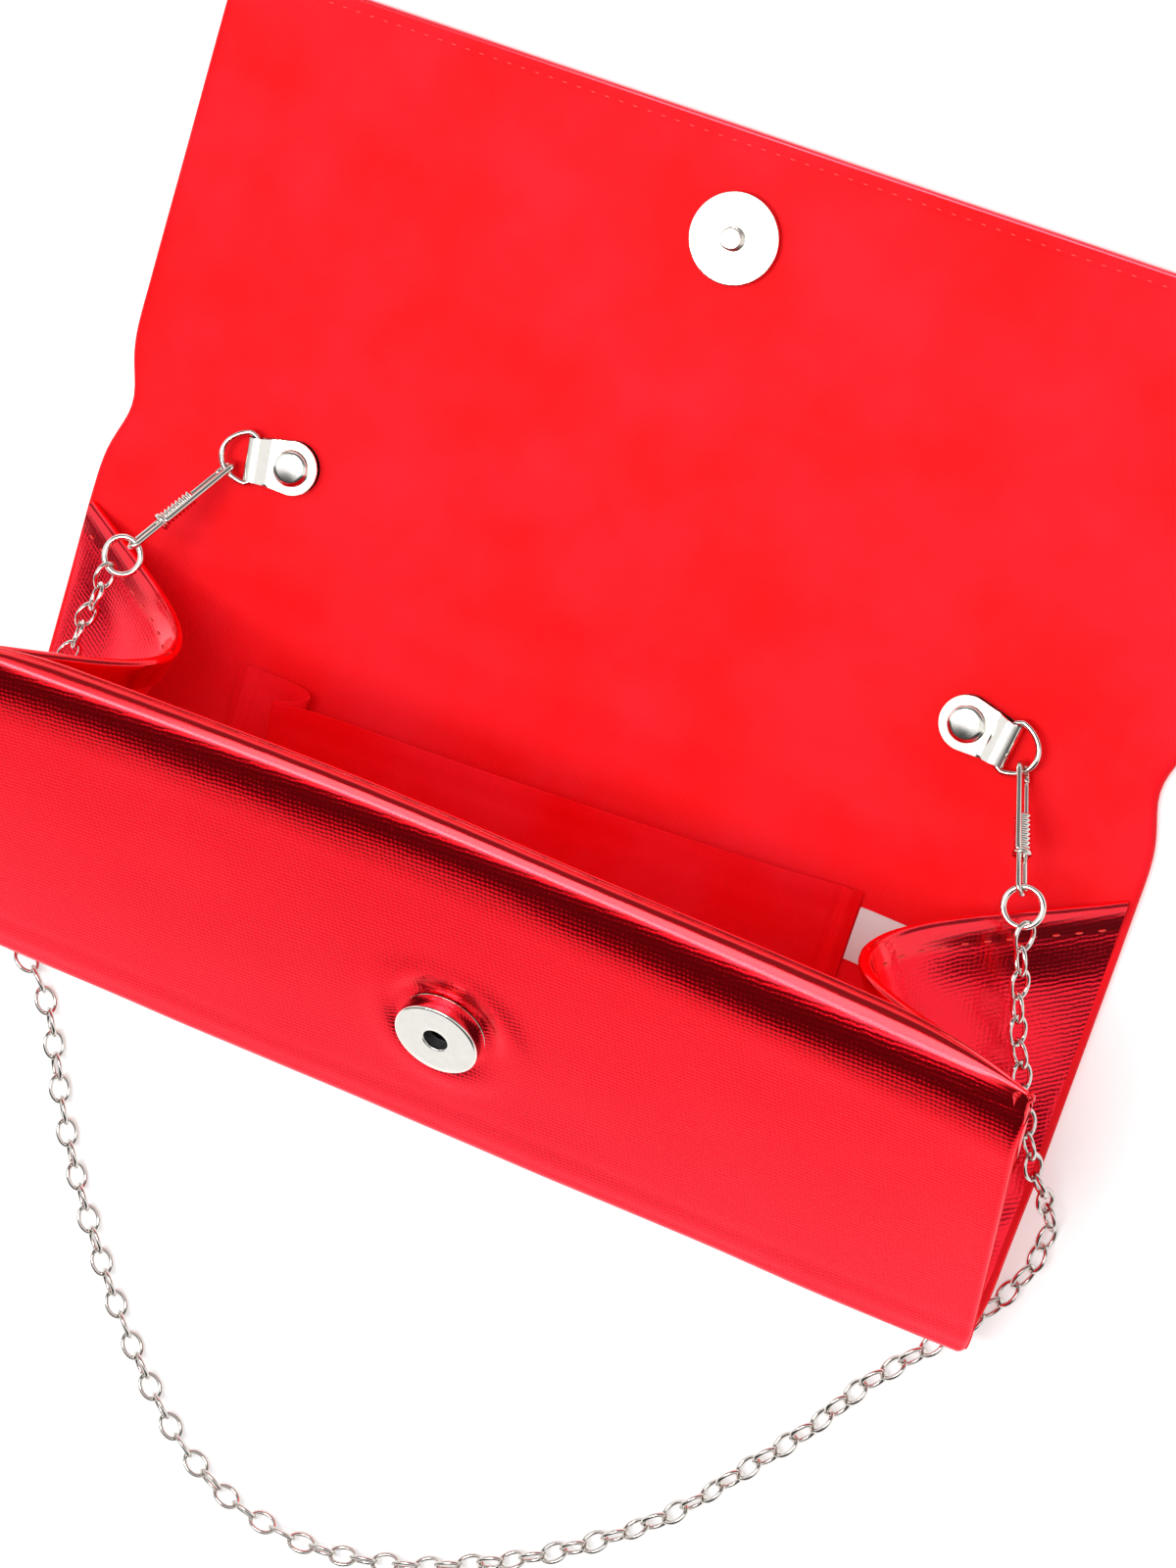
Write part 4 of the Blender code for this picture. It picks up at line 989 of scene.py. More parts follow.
def leather_profile():
    """(x, depth) across a panel: from the seam half-way up the left side, round its edge, and across."""
    flat_end = HALF_WIDTH - EDGE_ROLL
    angle = np.linspace(0.9 * np.pi, 1.5 * np.pi, 9)
    edge = np.stack([-flat_end + EDGE_ROLL * np.cos(angle), EDGE_ROLL * (1.0 + np.sin(angle))], axis=1)
    coarse = np.linspace(-flat_end + 1.8, -24.0, 46)
    fine = np.linspace(-23.0, 0.0, 31)
    half = np.concatenate([coarse, fine])
    x = np.concatenate([half, -half[-2::-1]])
    face = np.stack([x, np.zeros_like(x)], axis=1)
    return np.vstack([edge, face, (edge * (-1.0, 1.0))[::-1]])


def side_drawn_in(cut):
    """How far the panel's sides are drawn in, at the fold between back and flap and at the bottom fold."""
    return NOTCH_DEPTH * bell(cut - NOTCH_AT, NOTCH_SPREAD) + FOLD_DRAWN_IN * bell(cut, FOLD_SPREAD)


def sheet_points(path, normal, cut, profile, depth_share, depth_added):
    """A profile carried along a path: x from the profile, (y, z) the path plus depth along its normal."""
    narrow = 1.0 - side_drawn_in(cut)[:, None] / HALF_WIDTH
    x = profile[None, :, 0] * narrow
    depth = profile[None, :, 1] * depth_share[:, None] + depth_added(x, cut[:, None])
    yz = path[:, None, :] + depth[..., None] * normal[:, None, :]
    points = np.concatenate([x[..., None], yz], axis=-1)
    across = lengths(profile)
    across -= 0.5 * across[-1]
    return points, np.stack(np.broadcast_arrays(across[None, :], cut[:, None]), axis=-1)


def body_relief(x, cut):
    """Depth of the body leather below its plain section, in millimetres."""
    up_front = front_low_cut - cut
    near_front = ease(up_front, 0.0, 4.0)
    crease = 0.08 * bell(up_front - CREASE_UP_FRONT - 0.8 * ripple(x, 0.0 * x, 90.0, 3), 1.9)
    from_snap = np.hypot(x, up_front - SNAP_UP_FRONT)
    around = np.arctan2(up_front - SNAP_UP_FRONT, x)
    swell = 0.5 * bell(from_snap - 15.0, 3.2) * (0.7 + 0.3 * np.sin(3.0 * around))
    pucker = 0.55 * bell(from_snap - 10.6, 1.7) - swell
    soft = 0.16 * ripple(x, cut, 75.0, 11) + 0.05 * ripple(x, cut, 26.0, 12) + 0.3 * (1.0 - near_front)
    away = ease(np.abs(cut - BACK_SEAM), 0.0, 20.0) * (1.0 - ease(up_front, 74.0, 80.0))
    return near_front * (crease + pucker) + soft * away


profile = leather_profile()
up_front = front_low_cut - body_cut
body_share = 1.0 - 0.5 * ease(up_front, 71.0, 77.0)
body_points, body_uv = sheet_points(body_path, body_normal, body_cut, profile, body_share, body_relief)
body_points = thinned(bowed(body_points, front_rows), body_path[:roll_rows])
plain_to, pressed_from = body_cut[[roll_rows - RIM_PLAIN_ROWS, roll_rows - RIM_PRESSED_ROWS]]
rim_press = ease(body_cut, plain_to, pressed_from)[:, None]
body_leather = make_sheet(
    "body_leather", body_points, leather, LEATHER_THICKNESS, body_uv, 0.15 + 0.85 * rim_press)
rim_rows = roll_rows + RIM_CAP_ROWS
for name, column in (("left", 0), ("right", -1)):
    line = body_points[:rim_rows, column]
    share = np.linspace(0.0, 1.0, 9)[None, :, None]
    half = line[:rim_rows // 2, None], line[::-1][:rim_rows // 2, None]
    cap = half[0] + share * (half[1] - half[0])
    cap[..., 0] += SIDES[name] * 0.5 * np.sin(np.pi * share[..., 0])
    cap_cut = np.stack([cap[..., 1], cap[..., 2]], axis=-1)
    end = make_piece(
        f"rim_end_{name}", cap, grid_faces(*cap.shape[:2], flip=column == 0), leather, cap_cut, press=0.2)
    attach(end, "front")
stand_for(body_leather, ("back_outer", "front_outer"))
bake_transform(body_leather)
print("body leather", body_points.shape)

# %% [markdown]
# ## Leather of the band and the flap
# Past the back the same leather runs on in two pieces, one over each crease.  They share their end
# lines, so no seam shows.

# %% Hinge and flap leather
CREASE_BEND = 5.0
EDGE_FLAT = 0.4


def flat_relief(x, cut):
    """Slow unevenness of the leather that lies on the table, and a pressed line at each crease."""
    soft = 0.05 * ripple(x, cut, 60.0, 21)
    pressed = 0.22 * (bell(cut - CREASE_1, 1.4) + bell(cut - CREASE_2, 1.4))
    return pressed + (0.08 + soft) * ease(np.abs(cut - BACK_SEAM), 0.0, 20.0)


def bend_over(piece):
    """Bake a piece's placement into its mesh."""
    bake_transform(piece)


def near_crease(start, end, crease, step):
    """Even stops from start to end with closer ones round a crease."""
    stops = np.linspace(start, end, max(3, round((end - start) / step)))
    close = crease + np.linspace(-1.6 * CREASE_BEND, 1.6 * CREASE_BEND, 33)
    apart = stops[np.abs(stops - crease) > 1.6 * CREASE_BEND + 0.4 * step]
    return np.sort(np.concatenate([apart, close[(close > start) & (close < end)]]))


hinge_y = near_crease(BACK_SEAM, BAND_SEAM, CREASE_1, 2.0)
flap_y = near_crease(BAND_SEAM, FLAP_END, CREASE_2, 2.0)
hinge_path, hinge_normal, _ = section(np.stack([hinge_y, 0.0 * hinge_y], axis=1))
hinge_points, hinge_uv = sheet_points(
    hinge_path, hinge_normal, hinge_y, profile, np.ones_like(hinge_y), flat_relief)
hinge_leather = make_sheet("hinge_leather", hinge_points, leather, LEATHER_THICKNESS, hinge_uv, 1.0)
flap_path, flap_normal, flap_cut = section(
    np.stack([flap_y, 0.0 * flap_y], axis=1),
    bow((FLAP_END, TURN_RADIUS), TURN_RADIUS, -0.5 * np.pi, 0.5 * np.pi, 16) * (EDGE_FLAT, 1.0) + (
        (1.0 - EDGE_FLAT) * FLAP_END, 0.0),
    straight((FLAP_END, 2.0 * TURN_RADIUS), (FLAP_END - FLAP_TURN, 2.0 * TURN_RADIUS), 4))
flap_cut += BAND_SEAM
flap_share = 1.0 - 0.5 * ease(flap_cut, FLAP_END - 6.0, FLAP_END - 1.0)
flap_points, flap_uv = sheet_points(flap_path, flap_normal, flap_cut, profile, flap_share, flat_relief)
flap_press = 1.0 - 0.8 * ease(flap_cut, FLAP_END - 2.0, FLAP_END + 0.5)[:, None]
flap_leather = make_sheet("flap_leather", flap_points, leather, LEATHER_THICKNESS, flap_uv, flap_press)
stand_for(hinge_leather, ["band_outer"])
stand_for(flap_leather, ["flap_outer"])
bend_over(hinge_leather)
bend_over(flap_leather)
print("hinge leather", hinge_points.shape, "flap leather", flap_points.shape)

# %% [markdown]
# ## Satin lining of the body, band and flap
# The lining is glued to the boards but not tight: it ripples a little everywhere, more where the flap
# hinges, and dips at each crease.  It follows the same path one stack thickness inside the leather.

# %% Lining sheets
LINING_THICKNESS = 0.6
LINING_ROLL = 1.6
LINING_FLAT = HALF_WIDTH - 1.45
FLAP_SEAM = 2.4


def lining_relief(x, cut):
    """Depth of the lining below its plain level: ripples that go down into the board, never up far."""
    slow = 0.16 * ripple(x, cut, 95.0, 31) + 0.07 * ripple(x, cut, 38.0, 32)
    at_band = bell(cut - 112.0, 26.0)
    folds = 0.16 * at_band * ripple(0.35 * x, cut, 17.0, 33)
    pressed = 0.20 * bell(cut - CREASE_1, 5.0) + 0.18 * bell(cut - CREASE_2 + 0.02 * x, 6.0)
    sewn = 0.12 * bell(cut - FLAP_END + FLAP_SEAM, 0.6)
    return pressed + (slow + folds - 0.06) * (1.0 - ease(cut, FLAP_END - 10.0, FLAP_END - 3.0)) + sewn


def lining_piece(name, path, normal, cut, nodes, rows=0):
    """A sheet of lining along a path; its first rows may lie on the front and follow its bow."""
    ones = np.ones_like(cut)
    points, uv = sheet_points(path, normal, cut, lining_profile, ones, lining_relief)
    points = bowed(points, rows)
    piece = make_sheet(name, points, satin, LINING_THICKNESS, uv, flip=True)
    stand_for(piece, nodes)
    return piece


lining_side = bow((-LINING_FLAT, STACK - LINING_ROLL), LINING_ROLL, np.pi, 0.5 * np.pi, 6)
lining_x = np.linspace(-LINING_FLAT, LINING_FLAT, 126)[1:-1]
lining_face = np.stack([lining_x, np.full_like(lining_x, STACK)], axis=1)
lining_profile = np.vstack([lining_side, lining_face, (lining_side * (-1.0, 1.0))[::-1]])
LINING_UP_FRONT = 78.0
LINING_ROWS = 56
inner_path, inner_normal, inner_cut = section(
    on_front(np.linspace(LINING_UP_FRONT, 0.0, LINING_ROWS), 0.0), *back_runs(BACK_SEAM))
inner_cut += BACK_SEAM - inner_cut[-1]
body_lining = lining_piece(
    "body_lining", inner_path, inner_normal, inner_cut, ("back_lining", "front_lining"), LINING_ROWS)
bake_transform(body_lining)
band_lining = lining_piece("band_satin", hinge_path, hinge_normal, hinge_y, ("band_lining",))
bend_over(band_lining)
top_y = np.concatenate([flap_y[flap_y < FLAP_END - 6.0], FLAP_END - np.linspace(5.6, 0.3, 20)])
top_path, top_normal, _ = section(np.stack([top_y, 0.0 * top_y], axis=1))
flap_lining = lining_piece("flap_satin", top_path, top_normal, top_y, ("flap_lining",))
bend_over(flap_lining)

# %% [markdown]
# ## Side gussets
# Each side is closed by a folded web of leather, sewn to the back and to the front and creased inwards
# along its middle.  It could be two flat triangles, but soft leather turns the crease into a round nose.
# A half is a fan of curves from the corner outwards: each curve starts at the panel's edge and ends on
# the fold, running straight across to the other half, and its rim is turned over and stitched.

# %% Gusset lines
GUSSET_EDGE = 89.6
GUSSET_FOLD = 84.0
GUSSET_HALF_ANGLE = math.radians(32.5)
GUSSET_FROM = -0.03
GUSSET_TIP_SUNK = 7.0
GUSSET_TIP_BEHIND = 0.8
GUSSET_TIP_FROM = 0.75
CORNER_IN = 1.5
CORNER_TO = 0.12
GUSSET_ROLL = 1.2
GUSSET_TURN = 6.0
GUSSET_LEATHER = 0.6
GUSSET_SATIN = 0.4
GUSSET_GAP = 1.5
LEAST_AREA_SHARE = 0.31
NOSE = 0.27
NOSE_SHIFT = {"left": (-4.0, 1.5, 0.0), "right": (0.0, -2.0, 0.0)}
START_FLAT = 4.0
PANEL_REACH = 0.8


def gusset_frame(side):
    """A gusset's corner, and unit vectors up its back edge, its fold and its front edge."""
    name = "left" if side < 0.0 else "right"
    corner = hinge_point(f"gusset_back_hinge_{name}")
    back = np.array(joints[f"gusset_back_hinge_{name}"]["axis"])
    front = np.array(joints[f"gusset_front_hinge_{name}"]["axis"])
    back = back * np.sign(back[1])
    front = front * np.sign(front[1])
    half = 0.5 * math.acos(np.dot(back, front))
    up = math.cos(GUSSET_HALF_ANGLE) / math.cos(half)
    fold = up * unit(back + front) - side * math.sqrt(1.0 - up * up) * np.array([1.0, 0.0, 0.0])
    return corner, back, fold, front


def panel_edge(edge_points, which, side):
    """Points on a panel's inner face, straight across from points of a gusset's edge line."""
    if which == "back":
        x, y, _ = edge_points.T
        placed = np.stack([x, y, STACK + curl_rise(y)], axis=1)
    else:
        out = np.array([0.0, *FRONT_OUT])
        start = np.array([0.0, *FRONT_START])
        height = (edge_points - start) @ out + STACK
        placed = edge_points - height[:, None] * out
        up = (placed - start) @ np.array([0.0, *FRONT_ALONG])
        placed += front_bow(placed[:, 0], up)[:, None] * out
    return placed + np.array([side * PANEL_REACH, 0.0, 0.0])


def gusset_curves(side, which, t, w):
    """Fan of cubic curves: panel edge at w = 0, fold at w = 1, scaled by t from the corner.

    Each is (1-w)^3 P0 + 3 w (1-w)^2 P1 + 3 w^2 (1-w) P2 + w^3 P3, where P1 lies part of the way to the fold,
    pressed towards the panel, and P2 straight across from the fold, so that both halves meet in a round nose.
    The fan is drawn in at the corner, and the front half's tip is sunk behind the front's rim.
    """
    corner, back, fold, front = gusset_frame(side)
    shift = np.array(NOSE_SHIFT["left" if side < 0.0 else "right"])
    to_panel = -UP if which == "back" else np.array([0.0, *FRONT_OUT])
    edge = back if which == "back" else front
    across = unit(front - back - fold * np.dot(front - back, fold))
    across = across if which == "back" else -across
    inwards = -side * CORNER_IN * (1.0 - ease(t, 0.0, CORNER_TO))[:, None] * np.array([1.0, 0.0, 0.0])
    at_tip = ease(t, GUSSET_TIP_FROM, 1.0) * (which == "front")
    climb = GUSSET_EDGE * t - GUSSET_TIP_SUNK * at_tip
    p0 = panel_edge(corner + climb[:, None] * edge, which, side) + inwards
    p3 = corner + t[:, None] * GUSSET_FOLD * fold + t[:, None] ** 2 * shift + inwards
    reach = np.linalg.norm(p3 - p0, axis=1)[:, None]
    p0 = p0 - GUSSET_TIP_BEHIND * at_tip[:, None] * to_panel
    p1 = p0 + 0.4 * (p3 - p0) + START_FLAT * (t * (1.0 - at_tip))[:, None] * to_panel
    p2 = p3 - NOSE * reach * across
    w = w[None, :, None]
    return ((1 - w) ** 3 * p0[:, None] + 3 * w * (1 - w) ** 2 * p1[:, None]
            + 3 * w ** 2 * (1 - w) * p2[:, None] + w ** 3 * p3[:, None])


print("gusset nose at", np.round(gusset_frame(-1.0)[0] + GUSSET_FOLD * gusset_frame(-1.0)[2], 1))

# %% Gusset leather and lining
STITCH_DOWN = 4.6
RIM_LIFT = 1.6
GUSSET_ROWS = 64
GUSSET_COLS = 34
BUNCH_DEPTH = 0.7
BUNCH_TURN = 42.0


def grid_normals(points):
    """Unit normals of a grid of points: cross product of its two directions."""
    return unit(np.cross(np.gradient(points, axis=0), np.gradient(points, axis=1)))


def gusset_half(name, side, which):
    """One half of a gusset: leather face with its turned rim, and the lining behind it."""
    t = np.linspace(GUSSET_FROM, 1.0, GUSSET_ROWS)
    w = np.linspace(0.0, 1.0, GUSSET_COLS)
    face = gusset_curves(side, which, t, w)
    inner = grid_normals(face)
    outside = np.array([side, 0.0, 0.0])
    inner *= -np.sign((inner * outside).sum(-1).mean())
    down = (1.0 - t)[:, None] * GUSSET_FOLD
    low_down = ease(30.0 - t * GUSSET_FOLD, 0.0, 20.0) * ease(t, 0.02, 0.12)
    bunch = BUNCH_DEPTH * low_down[:, None] * np.sin(t[:, None] * BUNCH_TURN + 3.0 * w[None, :])
    uneven = ripple(face[..., 1], face[..., 2] + face[..., 0], 34.0, 41 + int(side))
    soft = 0.5 * uneven * ease(down, 0.0, 14.0)
    seam = 0.22 * bell(down - STITCH_DOWN, 0.8)
    lift = RIM_LIFT * ease(t, 0.82, 1.0)[:, None] * (1.0 - 0.6 * w[None, :]) * (which == "back")
    fixed = np.sin(np.pi * w)[None, :] ** 0.5
    face = face + ((bunch + soft) * fixed + seam)[..., None] * inner + lift[..., None] * UP
    upward = unit(face[-1] - face[-2])
    angle = np.linspace(0.0, np.pi, 9)[1:, None, None]
    roll = face[-1] + GUSSET_ROLL * (np.sin(angle) * upward + (1.0 - np.cos(angle)) * inner[-1])
    back_down = np.linspace(0.0, GUSSET_TURN, 5)[1:, None, None]
    strip = roll[-1] - back_down * upward
    skin = np.concatenate([face, roll, strip])
    apart = np.linalg.norm(np.diff(skin, axis=1), axis=-1)
    across = np.concatenate([np.zeros((len(skin), 1)), np.cumsum(apart, axis=1)], axis=1)
    along = lengths(skin[:, len(w) // 2])[:, None] * np.ones((1, len(w)))
    press = np.where(np.arange(len(skin)) < len(face) - 4, 1.0, 0.35)[:, None]
    flip = np.dot(np.cross(skin[1, 1] - skin[0, 1], skin[0, 2] - skin[0, 1]), inner[0, 1]) > 0.0
    cut = np.stack([across, along], axis=-1)
    piece = make_sheet(
        f"gusset_{which}_leather_{name}", skin, leather, GUSSET_LEATHER, cut, press, bool(flip))
    low = (face + GUSSET_GAP * inner)[:-3]
    lining = make_sheet(
        f"gusset_{which}_satin_{name}", low, satin, GUSSET_SATIN, cut[:len(low)], flip=not flip)
    area = float(np.linalg.norm(np.cross(
        low[1:, :-1] - low[:-1, :-1], low[:-1, 1:] - low[:-1, :-1]), axis=-1).sum())
    width = float(across[len(low) - 1, -1])
    length = float(along[len(low) - 1, 0])
    area = max(LEAST_AREA_SHARE * width * length, area) * MM * MM
    base = "root" if which == "back" else "front"
    for made, node, slot in ((piece, f"gusset_{which}_{name}", "leather"),
                             (lining, f"gusset_{which}_lining_{name}", "lining")):
        stand_for(made, [node])
        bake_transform(made)
    row = int(np.argmin(np.abs(down[:, 0] - STITCH_DOWN)))
    return face[row], -inner[row]


gusset_seams = {}
for name, side in SIDES.items():
    for which in ("back", "front"):
        gusset_seams[which, name] = gusset_half(name, side, which)
print("gusset halves:", list(gusset_seams))

# %% [markdown]
# ## Slip pocket and bare label
# Inside, a satin pocket is sewn to the back on three sides.  Its mouth sags open and is caught in a
# Z-shaped pleat at its left end.  The mouth is one curve through a few points, the bottom is a straight
# seam, and the cloth between them bellies out with the square root of its height.

# %% Pocket cloth
POCKET_LOW = 24.0
POCKET_HEIGHT = 52.0
POCKET_STEPS = 16
POCKET_SEAM = 4.2
POCKET_THICKNESS = 0.5
POCKET_CLEAR = 0.35
POCKET_ROWS = 34
POCKET_MOUTH = [
    (-72.4, 75.2, 3.9), (-66.0, 75.2, 4.6), (-60.5, 75.4, 5.6), (-56.6, 75.2, 6.6), (-55.3, 74.2, 7.4),
    (-57.2, 72.9, 8.3), (-60.8, 71.7, 9.2), (-61.6, 71.2, 9.7), (-59.6, 71.3, 10.1), (-50.0, 72.7, 10.3),
    (-17.3, 74.1, 10.6), (16.8, 75.9, 10.4), (45.4, 77.2, 8.2), (58.0, 77.8, 5.6), (64.8, 78.0, 4.0),
]
POCKET_FOOT = [
    -72.4, -68.5, -65.5, -63.2, -61.8, -60.8, -60.0, -59.2, -58.0, -50.0, -17.3, 16.8, 45.4, 58.0, 64.8]


def lining_height(y):
    """Height of the back lining above the table."""
    return STACK + curl_rise(y)


mouth = smooth_curve(POCKET_MOUTH, POCKET_STEPS)
foot_x = smooth_curve(np.array(POCKET_FOOT)[:, None], POCKET_STEPS)
foot = np.concatenate([foot_x, np.full_like(foot_x, POCKET_LOW), np.zeros_like(foot_x)], axis=1)
rise = np.linspace(0.0, 1.0, POCKET_ROWS)[:, None, None]
pocket_points = foot[None] + rise * (mouth - foot)[None]
lifted = (mouth[:, 2] - lining_height(mouth[:, 1]) - POCKET_CLEAR)[None, :] * rise[..., 0] ** 1.4
slack = 0.35 * ripple(pocket_points[..., 0], pocket_points[..., 1], 30.0, 51) * np.sin(np.pi * rise[..., 0])
hem = 0.3 * bell((1.0 - rise[..., 0]) * POCKET_HEIGHT - 5.0, 0.9) * ease(lifted, 0.3, 1.5)
along_mouth = lengths(mouth)
from_side = np.minimum(along_mouth, along_mouth[-1] - along_mouth)[None, :]
side_seam = 0.55 * bell(from_side - 0.5 * POCKET_SEAM, 1.3) - 0.30 * bell(from_side - POCKET_SEAM, 0.7)
pocket_height = lining_height(pocket_points[..., 1]) + POCKET_CLEAR + lifted
pocket_points[..., 2] = (
    pocket_height + np.abs(slack) * ease(lifted, 0.0, 2.0) - hem + np.maximum(side_seam, -0.2))
pocket_cut = np.stack(np.broadcast_arrays(along_mouth[None, :], POCKET_HEIGHT * rise[..., 0]), axis=-1)
pocket = make_sheet("pocket_cloth", pocket_points, satin, POCKET_THICKNESS, pocket_cut, flip=True)
stand_for(pocket, ["slip_pocket"], "root")
print(f"pocket mouth {along_mouth[-1]:.1f} mm long")

# %% Bare label
LABEL_WIDTH = 13.0
LABEL_HEIGHT = 11.0
LABEL_THICKNESS = 0.3
label_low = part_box("care_label")[0]
u, v = np.meshgrid(np.linspace(0.0, 1.0, 15), np.linspace(0.0, 1.0, 12), indexing="ij")
label_points = np.stack([
    label_low.x / MM + LABEL_WIDTH * u, label_low.y / MM - FOLD_Y + LABEL_HEIGHT * v,
    label_low.z / MM + 0.15 + 1.6 * u ** 1.6 + 0.25 * np.sin(3.0 * v + 2.0 * u)], axis=-1)
label_cut = np.stack([LABEL_WIDTH * u, LABEL_HEIGHT * v], axis=-1)
label = make_sheet("bare_label", label_points, white_tape, LABEL_THICKNESS, label_cut)
stand_for(label, ["care_label"], "root")
print("label", LABEL_WIDTH, "by", LABEL_HEIGHT, "mm, bare")

# %% [markdown]
# ## Riveted tabs, rivets and D-rings
# A tab is one strip of sheet metal folded back on itself round the D-ring's bar and held by a rivet.
# It is a sheet too: one parameter runs along the folded strip, the other across its width, which swells
# to a half circle under the rivet.  The D-ring is a closed wire and the rivet a turned dome.

# %% Tabs and rivets
TAB_ROUND = 5.5
TAB_REACH = 8.3
TAB_HALF_BAR = 4.4
TAB_SHEET = 0.6
TAB_BEVEL = 0.12
RIVET_STEPS = 48
RIVET_HEAD = 1.9
D_WIRE = 0.6
D_CLEAR = 0.15


def tab_axes(side):
    """The way a tab points out of the bag, and the direction of its bar."""
    out = np.array([side * math.cos(TAB_TILT), -math.sin(TAB_TILT), 0.0])
    bar = np.array([side * math.sin(TAB_TILT), math.cos(TAB_TILT), 0.0])
    return out, bar


def make_tab(name, side):
    """The folded strip: along its lower leaf to the bar, round the bar, and back along its upper leaf."""
    out, along = tab_axes(side)
    bar = hinge_point(f"d_ring_swing_{name}")
    roll = D_WIRE + D_CLEAR + TAB_SHEET
    round_end = -TAB_ROUND * np.cos(np.linspace(0.0, 0.5 * np.pi, 14))
    leaf = np.concatenate([round_end, np.linspace(0.0, TAB_REACH - 1.0, 8)[1:]])
    round_bar = np.linspace(-0.5 * np.pi, 0.5 * np.pi, 15)
    a = np.concatenate([leaf - TAB_REACH, roll * np.cos(round_bar), (leaf - TAB_REACH)[::-1]])
    z = np.concatenate([np.full(len(leaf), -roll), roll * np.sin(round_bar), np.full(len(leaf), 0.0)])
    upper = np.arange(len(a)) >= len(leaf) + len(round_bar)
    drop = ease(-a, 1.0, 3.4) * (2.0 * roll - 2.0 * TAB_SHEET - 0.1)
    z = np.where(upper, roll - drop, z)
    from_rivet = a + TAB_REACH
    width = np.where(
        from_rivet < 0.0, np.sqrt(np.clip(TAB_ROUND ** 2 - from_rivet ** 2, 0.02, None)),
        TAB_ROUND + (TAB_HALF_BAR - TAB_ROUND) * np.clip(from_rivet / TAB_REACH, 0.0, 1.0))
    b = np.linspace(-1.0, 1.0, 17)
    points = (bar + a[:, None, None] * out + z[:, None, None] * UP
              + (width[:, None] * b[None, :])[..., None] * along)
    tab = make_sheet(f"tab_{name}", points, nickel, TAB_SHEET, flip=side < 0.0)
    soft = tab.modifiers.new("edges", "BEVEL")
    soft.width = TAB_BEVEL * MM
    soft.segments = 2
    stand_for(tab, [f"tab_plate_{name}"], "top_band")
    return bar - TAB_REACH * out


def make_rivet(name, seat):
    """A turned rivet head: a thin flange, a rounded wall and a nearly flat top."""
    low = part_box(f"rivet_{name}")[1].z / MM - RIVET_HEAD
    wall = [(4.3, -0.2), (4.3, 0.0), (4.15, 0.16), (3.85, 0.2), (3.78, 0.35)]
    angle = np.linspace(0.0, 0.5 * np.pi, 9)
    dome = np.stack([2.6 + 1.15 * np.cos(angle), 0.75 + 1.0 * np.sin(angle)], axis=1)
    top = [(2.0, 1.79), (1.2, 1.84), (0.4, 1.87), (0.02, 1.87)]
    profile = np.vstack([wall, dome, top])
    origin = np.array([seat[0], seat[1], low])
    points = turned_points(profile, origin, UP, RIVET_STEPS)
    rivet = make_piece(f"rivet_head_{name}", points, capped(len(profile), RIVET_STEPS, flip=True), nickel)
    stand_for(rivet, [f"rivet_{name}"], "top_band")


for name, side in SIDES.items():
    make_rivet(name, make_tab(name, side))
print("tabs and rivets on the band")

# %% D-rings
D_HALF_WIDTH = 5.4
D_DEPTH = 7.0
D_BAR_HALF = 4.5
D_BEND = math.radians(78.0)
D_POINTS = 120
WIRE_SIDES = 14


def wire_loop(name, path, normal, radius, node, body):
    """A closed wire along a path that lies near one plane."""
    points = tube_points(path, normal, radius, WIRE_SIDES, True)
    faces = grid_faces(len(path), WIRE_SIDES, True, True, inside_out(points, path))
    stand_for(make_piece(name, points, faces, wire_nickel), [node], body)


def make_d_ring(name, side):
    """A closed wire: a straight bar and half an ellipse, with its corners smoothed by averaging."""
    out, along = tab_axes(side)
    tipped = math.cos(D_REST_TILT) * out + math.sin(D_REST_TILT) * UP
    t = np.linspace(D_BEND, -D_BEND, 60)
    bar = np.stack([np.zeros(30), np.linspace(-D_BAR_HALF, D_BAR_HALF, 30)], axis=1)
    bend = np.stack([D_DEPTH * np.cos(t), D_HALF_WIDTH * np.sin(t)], axis=1)
    loop = np.vstack([bar, bend])
    close = np.vstack([loop, loop[:1]])
    loop = points_at(close, np.linspace(0.0, lengths(close)[-1], D_POINTS, endpoint=False))
    for _ in range(3):
        loop = 0.25 * np.roll(loop, 1, axis=0) + 0.5 * loop + 0.25 * np.roll(loop, -1, axis=0)
    path = hinge_point(f"d_ring_swing_{name}") + loop[:, :1] * tipped + loop[:, 1:] * along
    body = f"d_ring_{name}"
    wire_loop(f"d_ring_wire_{name}", path, np.cross(tipped, along), D_WIRE, body, body)


for name, side in SIDES.items():
    make_d_ring(name, side)
print("D-rings done")

# %% [markdown]
# ## Spring clips and rings
# Each end of the chain has a little snap clip: a hook, a plain arm, a ribbed sleeve that holds the
# spring, an eye, and a gate that closes the hook.  Wires are swept along their lines, the sleeve is a
# turned profile with eight ribs, and the ring is a plain torus.

# %% Clips
ARM_RADIUS = 0.65
ARM_OFFSET = 1.6
HOOK_CLEAR = 0.45
HOOK_TIP = 1.2
SLEEVE_START = 9.0
SLEEVE_END = 16.6
SLEEVE_RADIUS = 1.2
RIB_HEIGHT = 0.42
RIB_COUNT = 8
COLLAR_RADIUS = 1.9
COLLAR_LENGTH = 1.0
EYE_ROD = 0.55
EYE_OFFSET = 1.35
EYE_CLEAR = 0.2
GATE_RADIUS = 0.55
GATE_GAP = 0.3
GATE_DOME = 0.4
SLEEVE_STEPS = 28
RING_STEPS = 72
COLLAR_SOFT = 0.2


def join_parts(parts):
    """Stack (points, faces) parts into one mesh's points and faces."""
    offset = 0
    all_points = []
    all_faces = []
    for points, faces in parts:
        flat = np.reshape(points, (-1, 3))
        all_faces += [[offset + k for k in face] for face in faces]
        all_points.append(flat)
        offset += len(flat)
    return np.vstack(all_points), all_faces


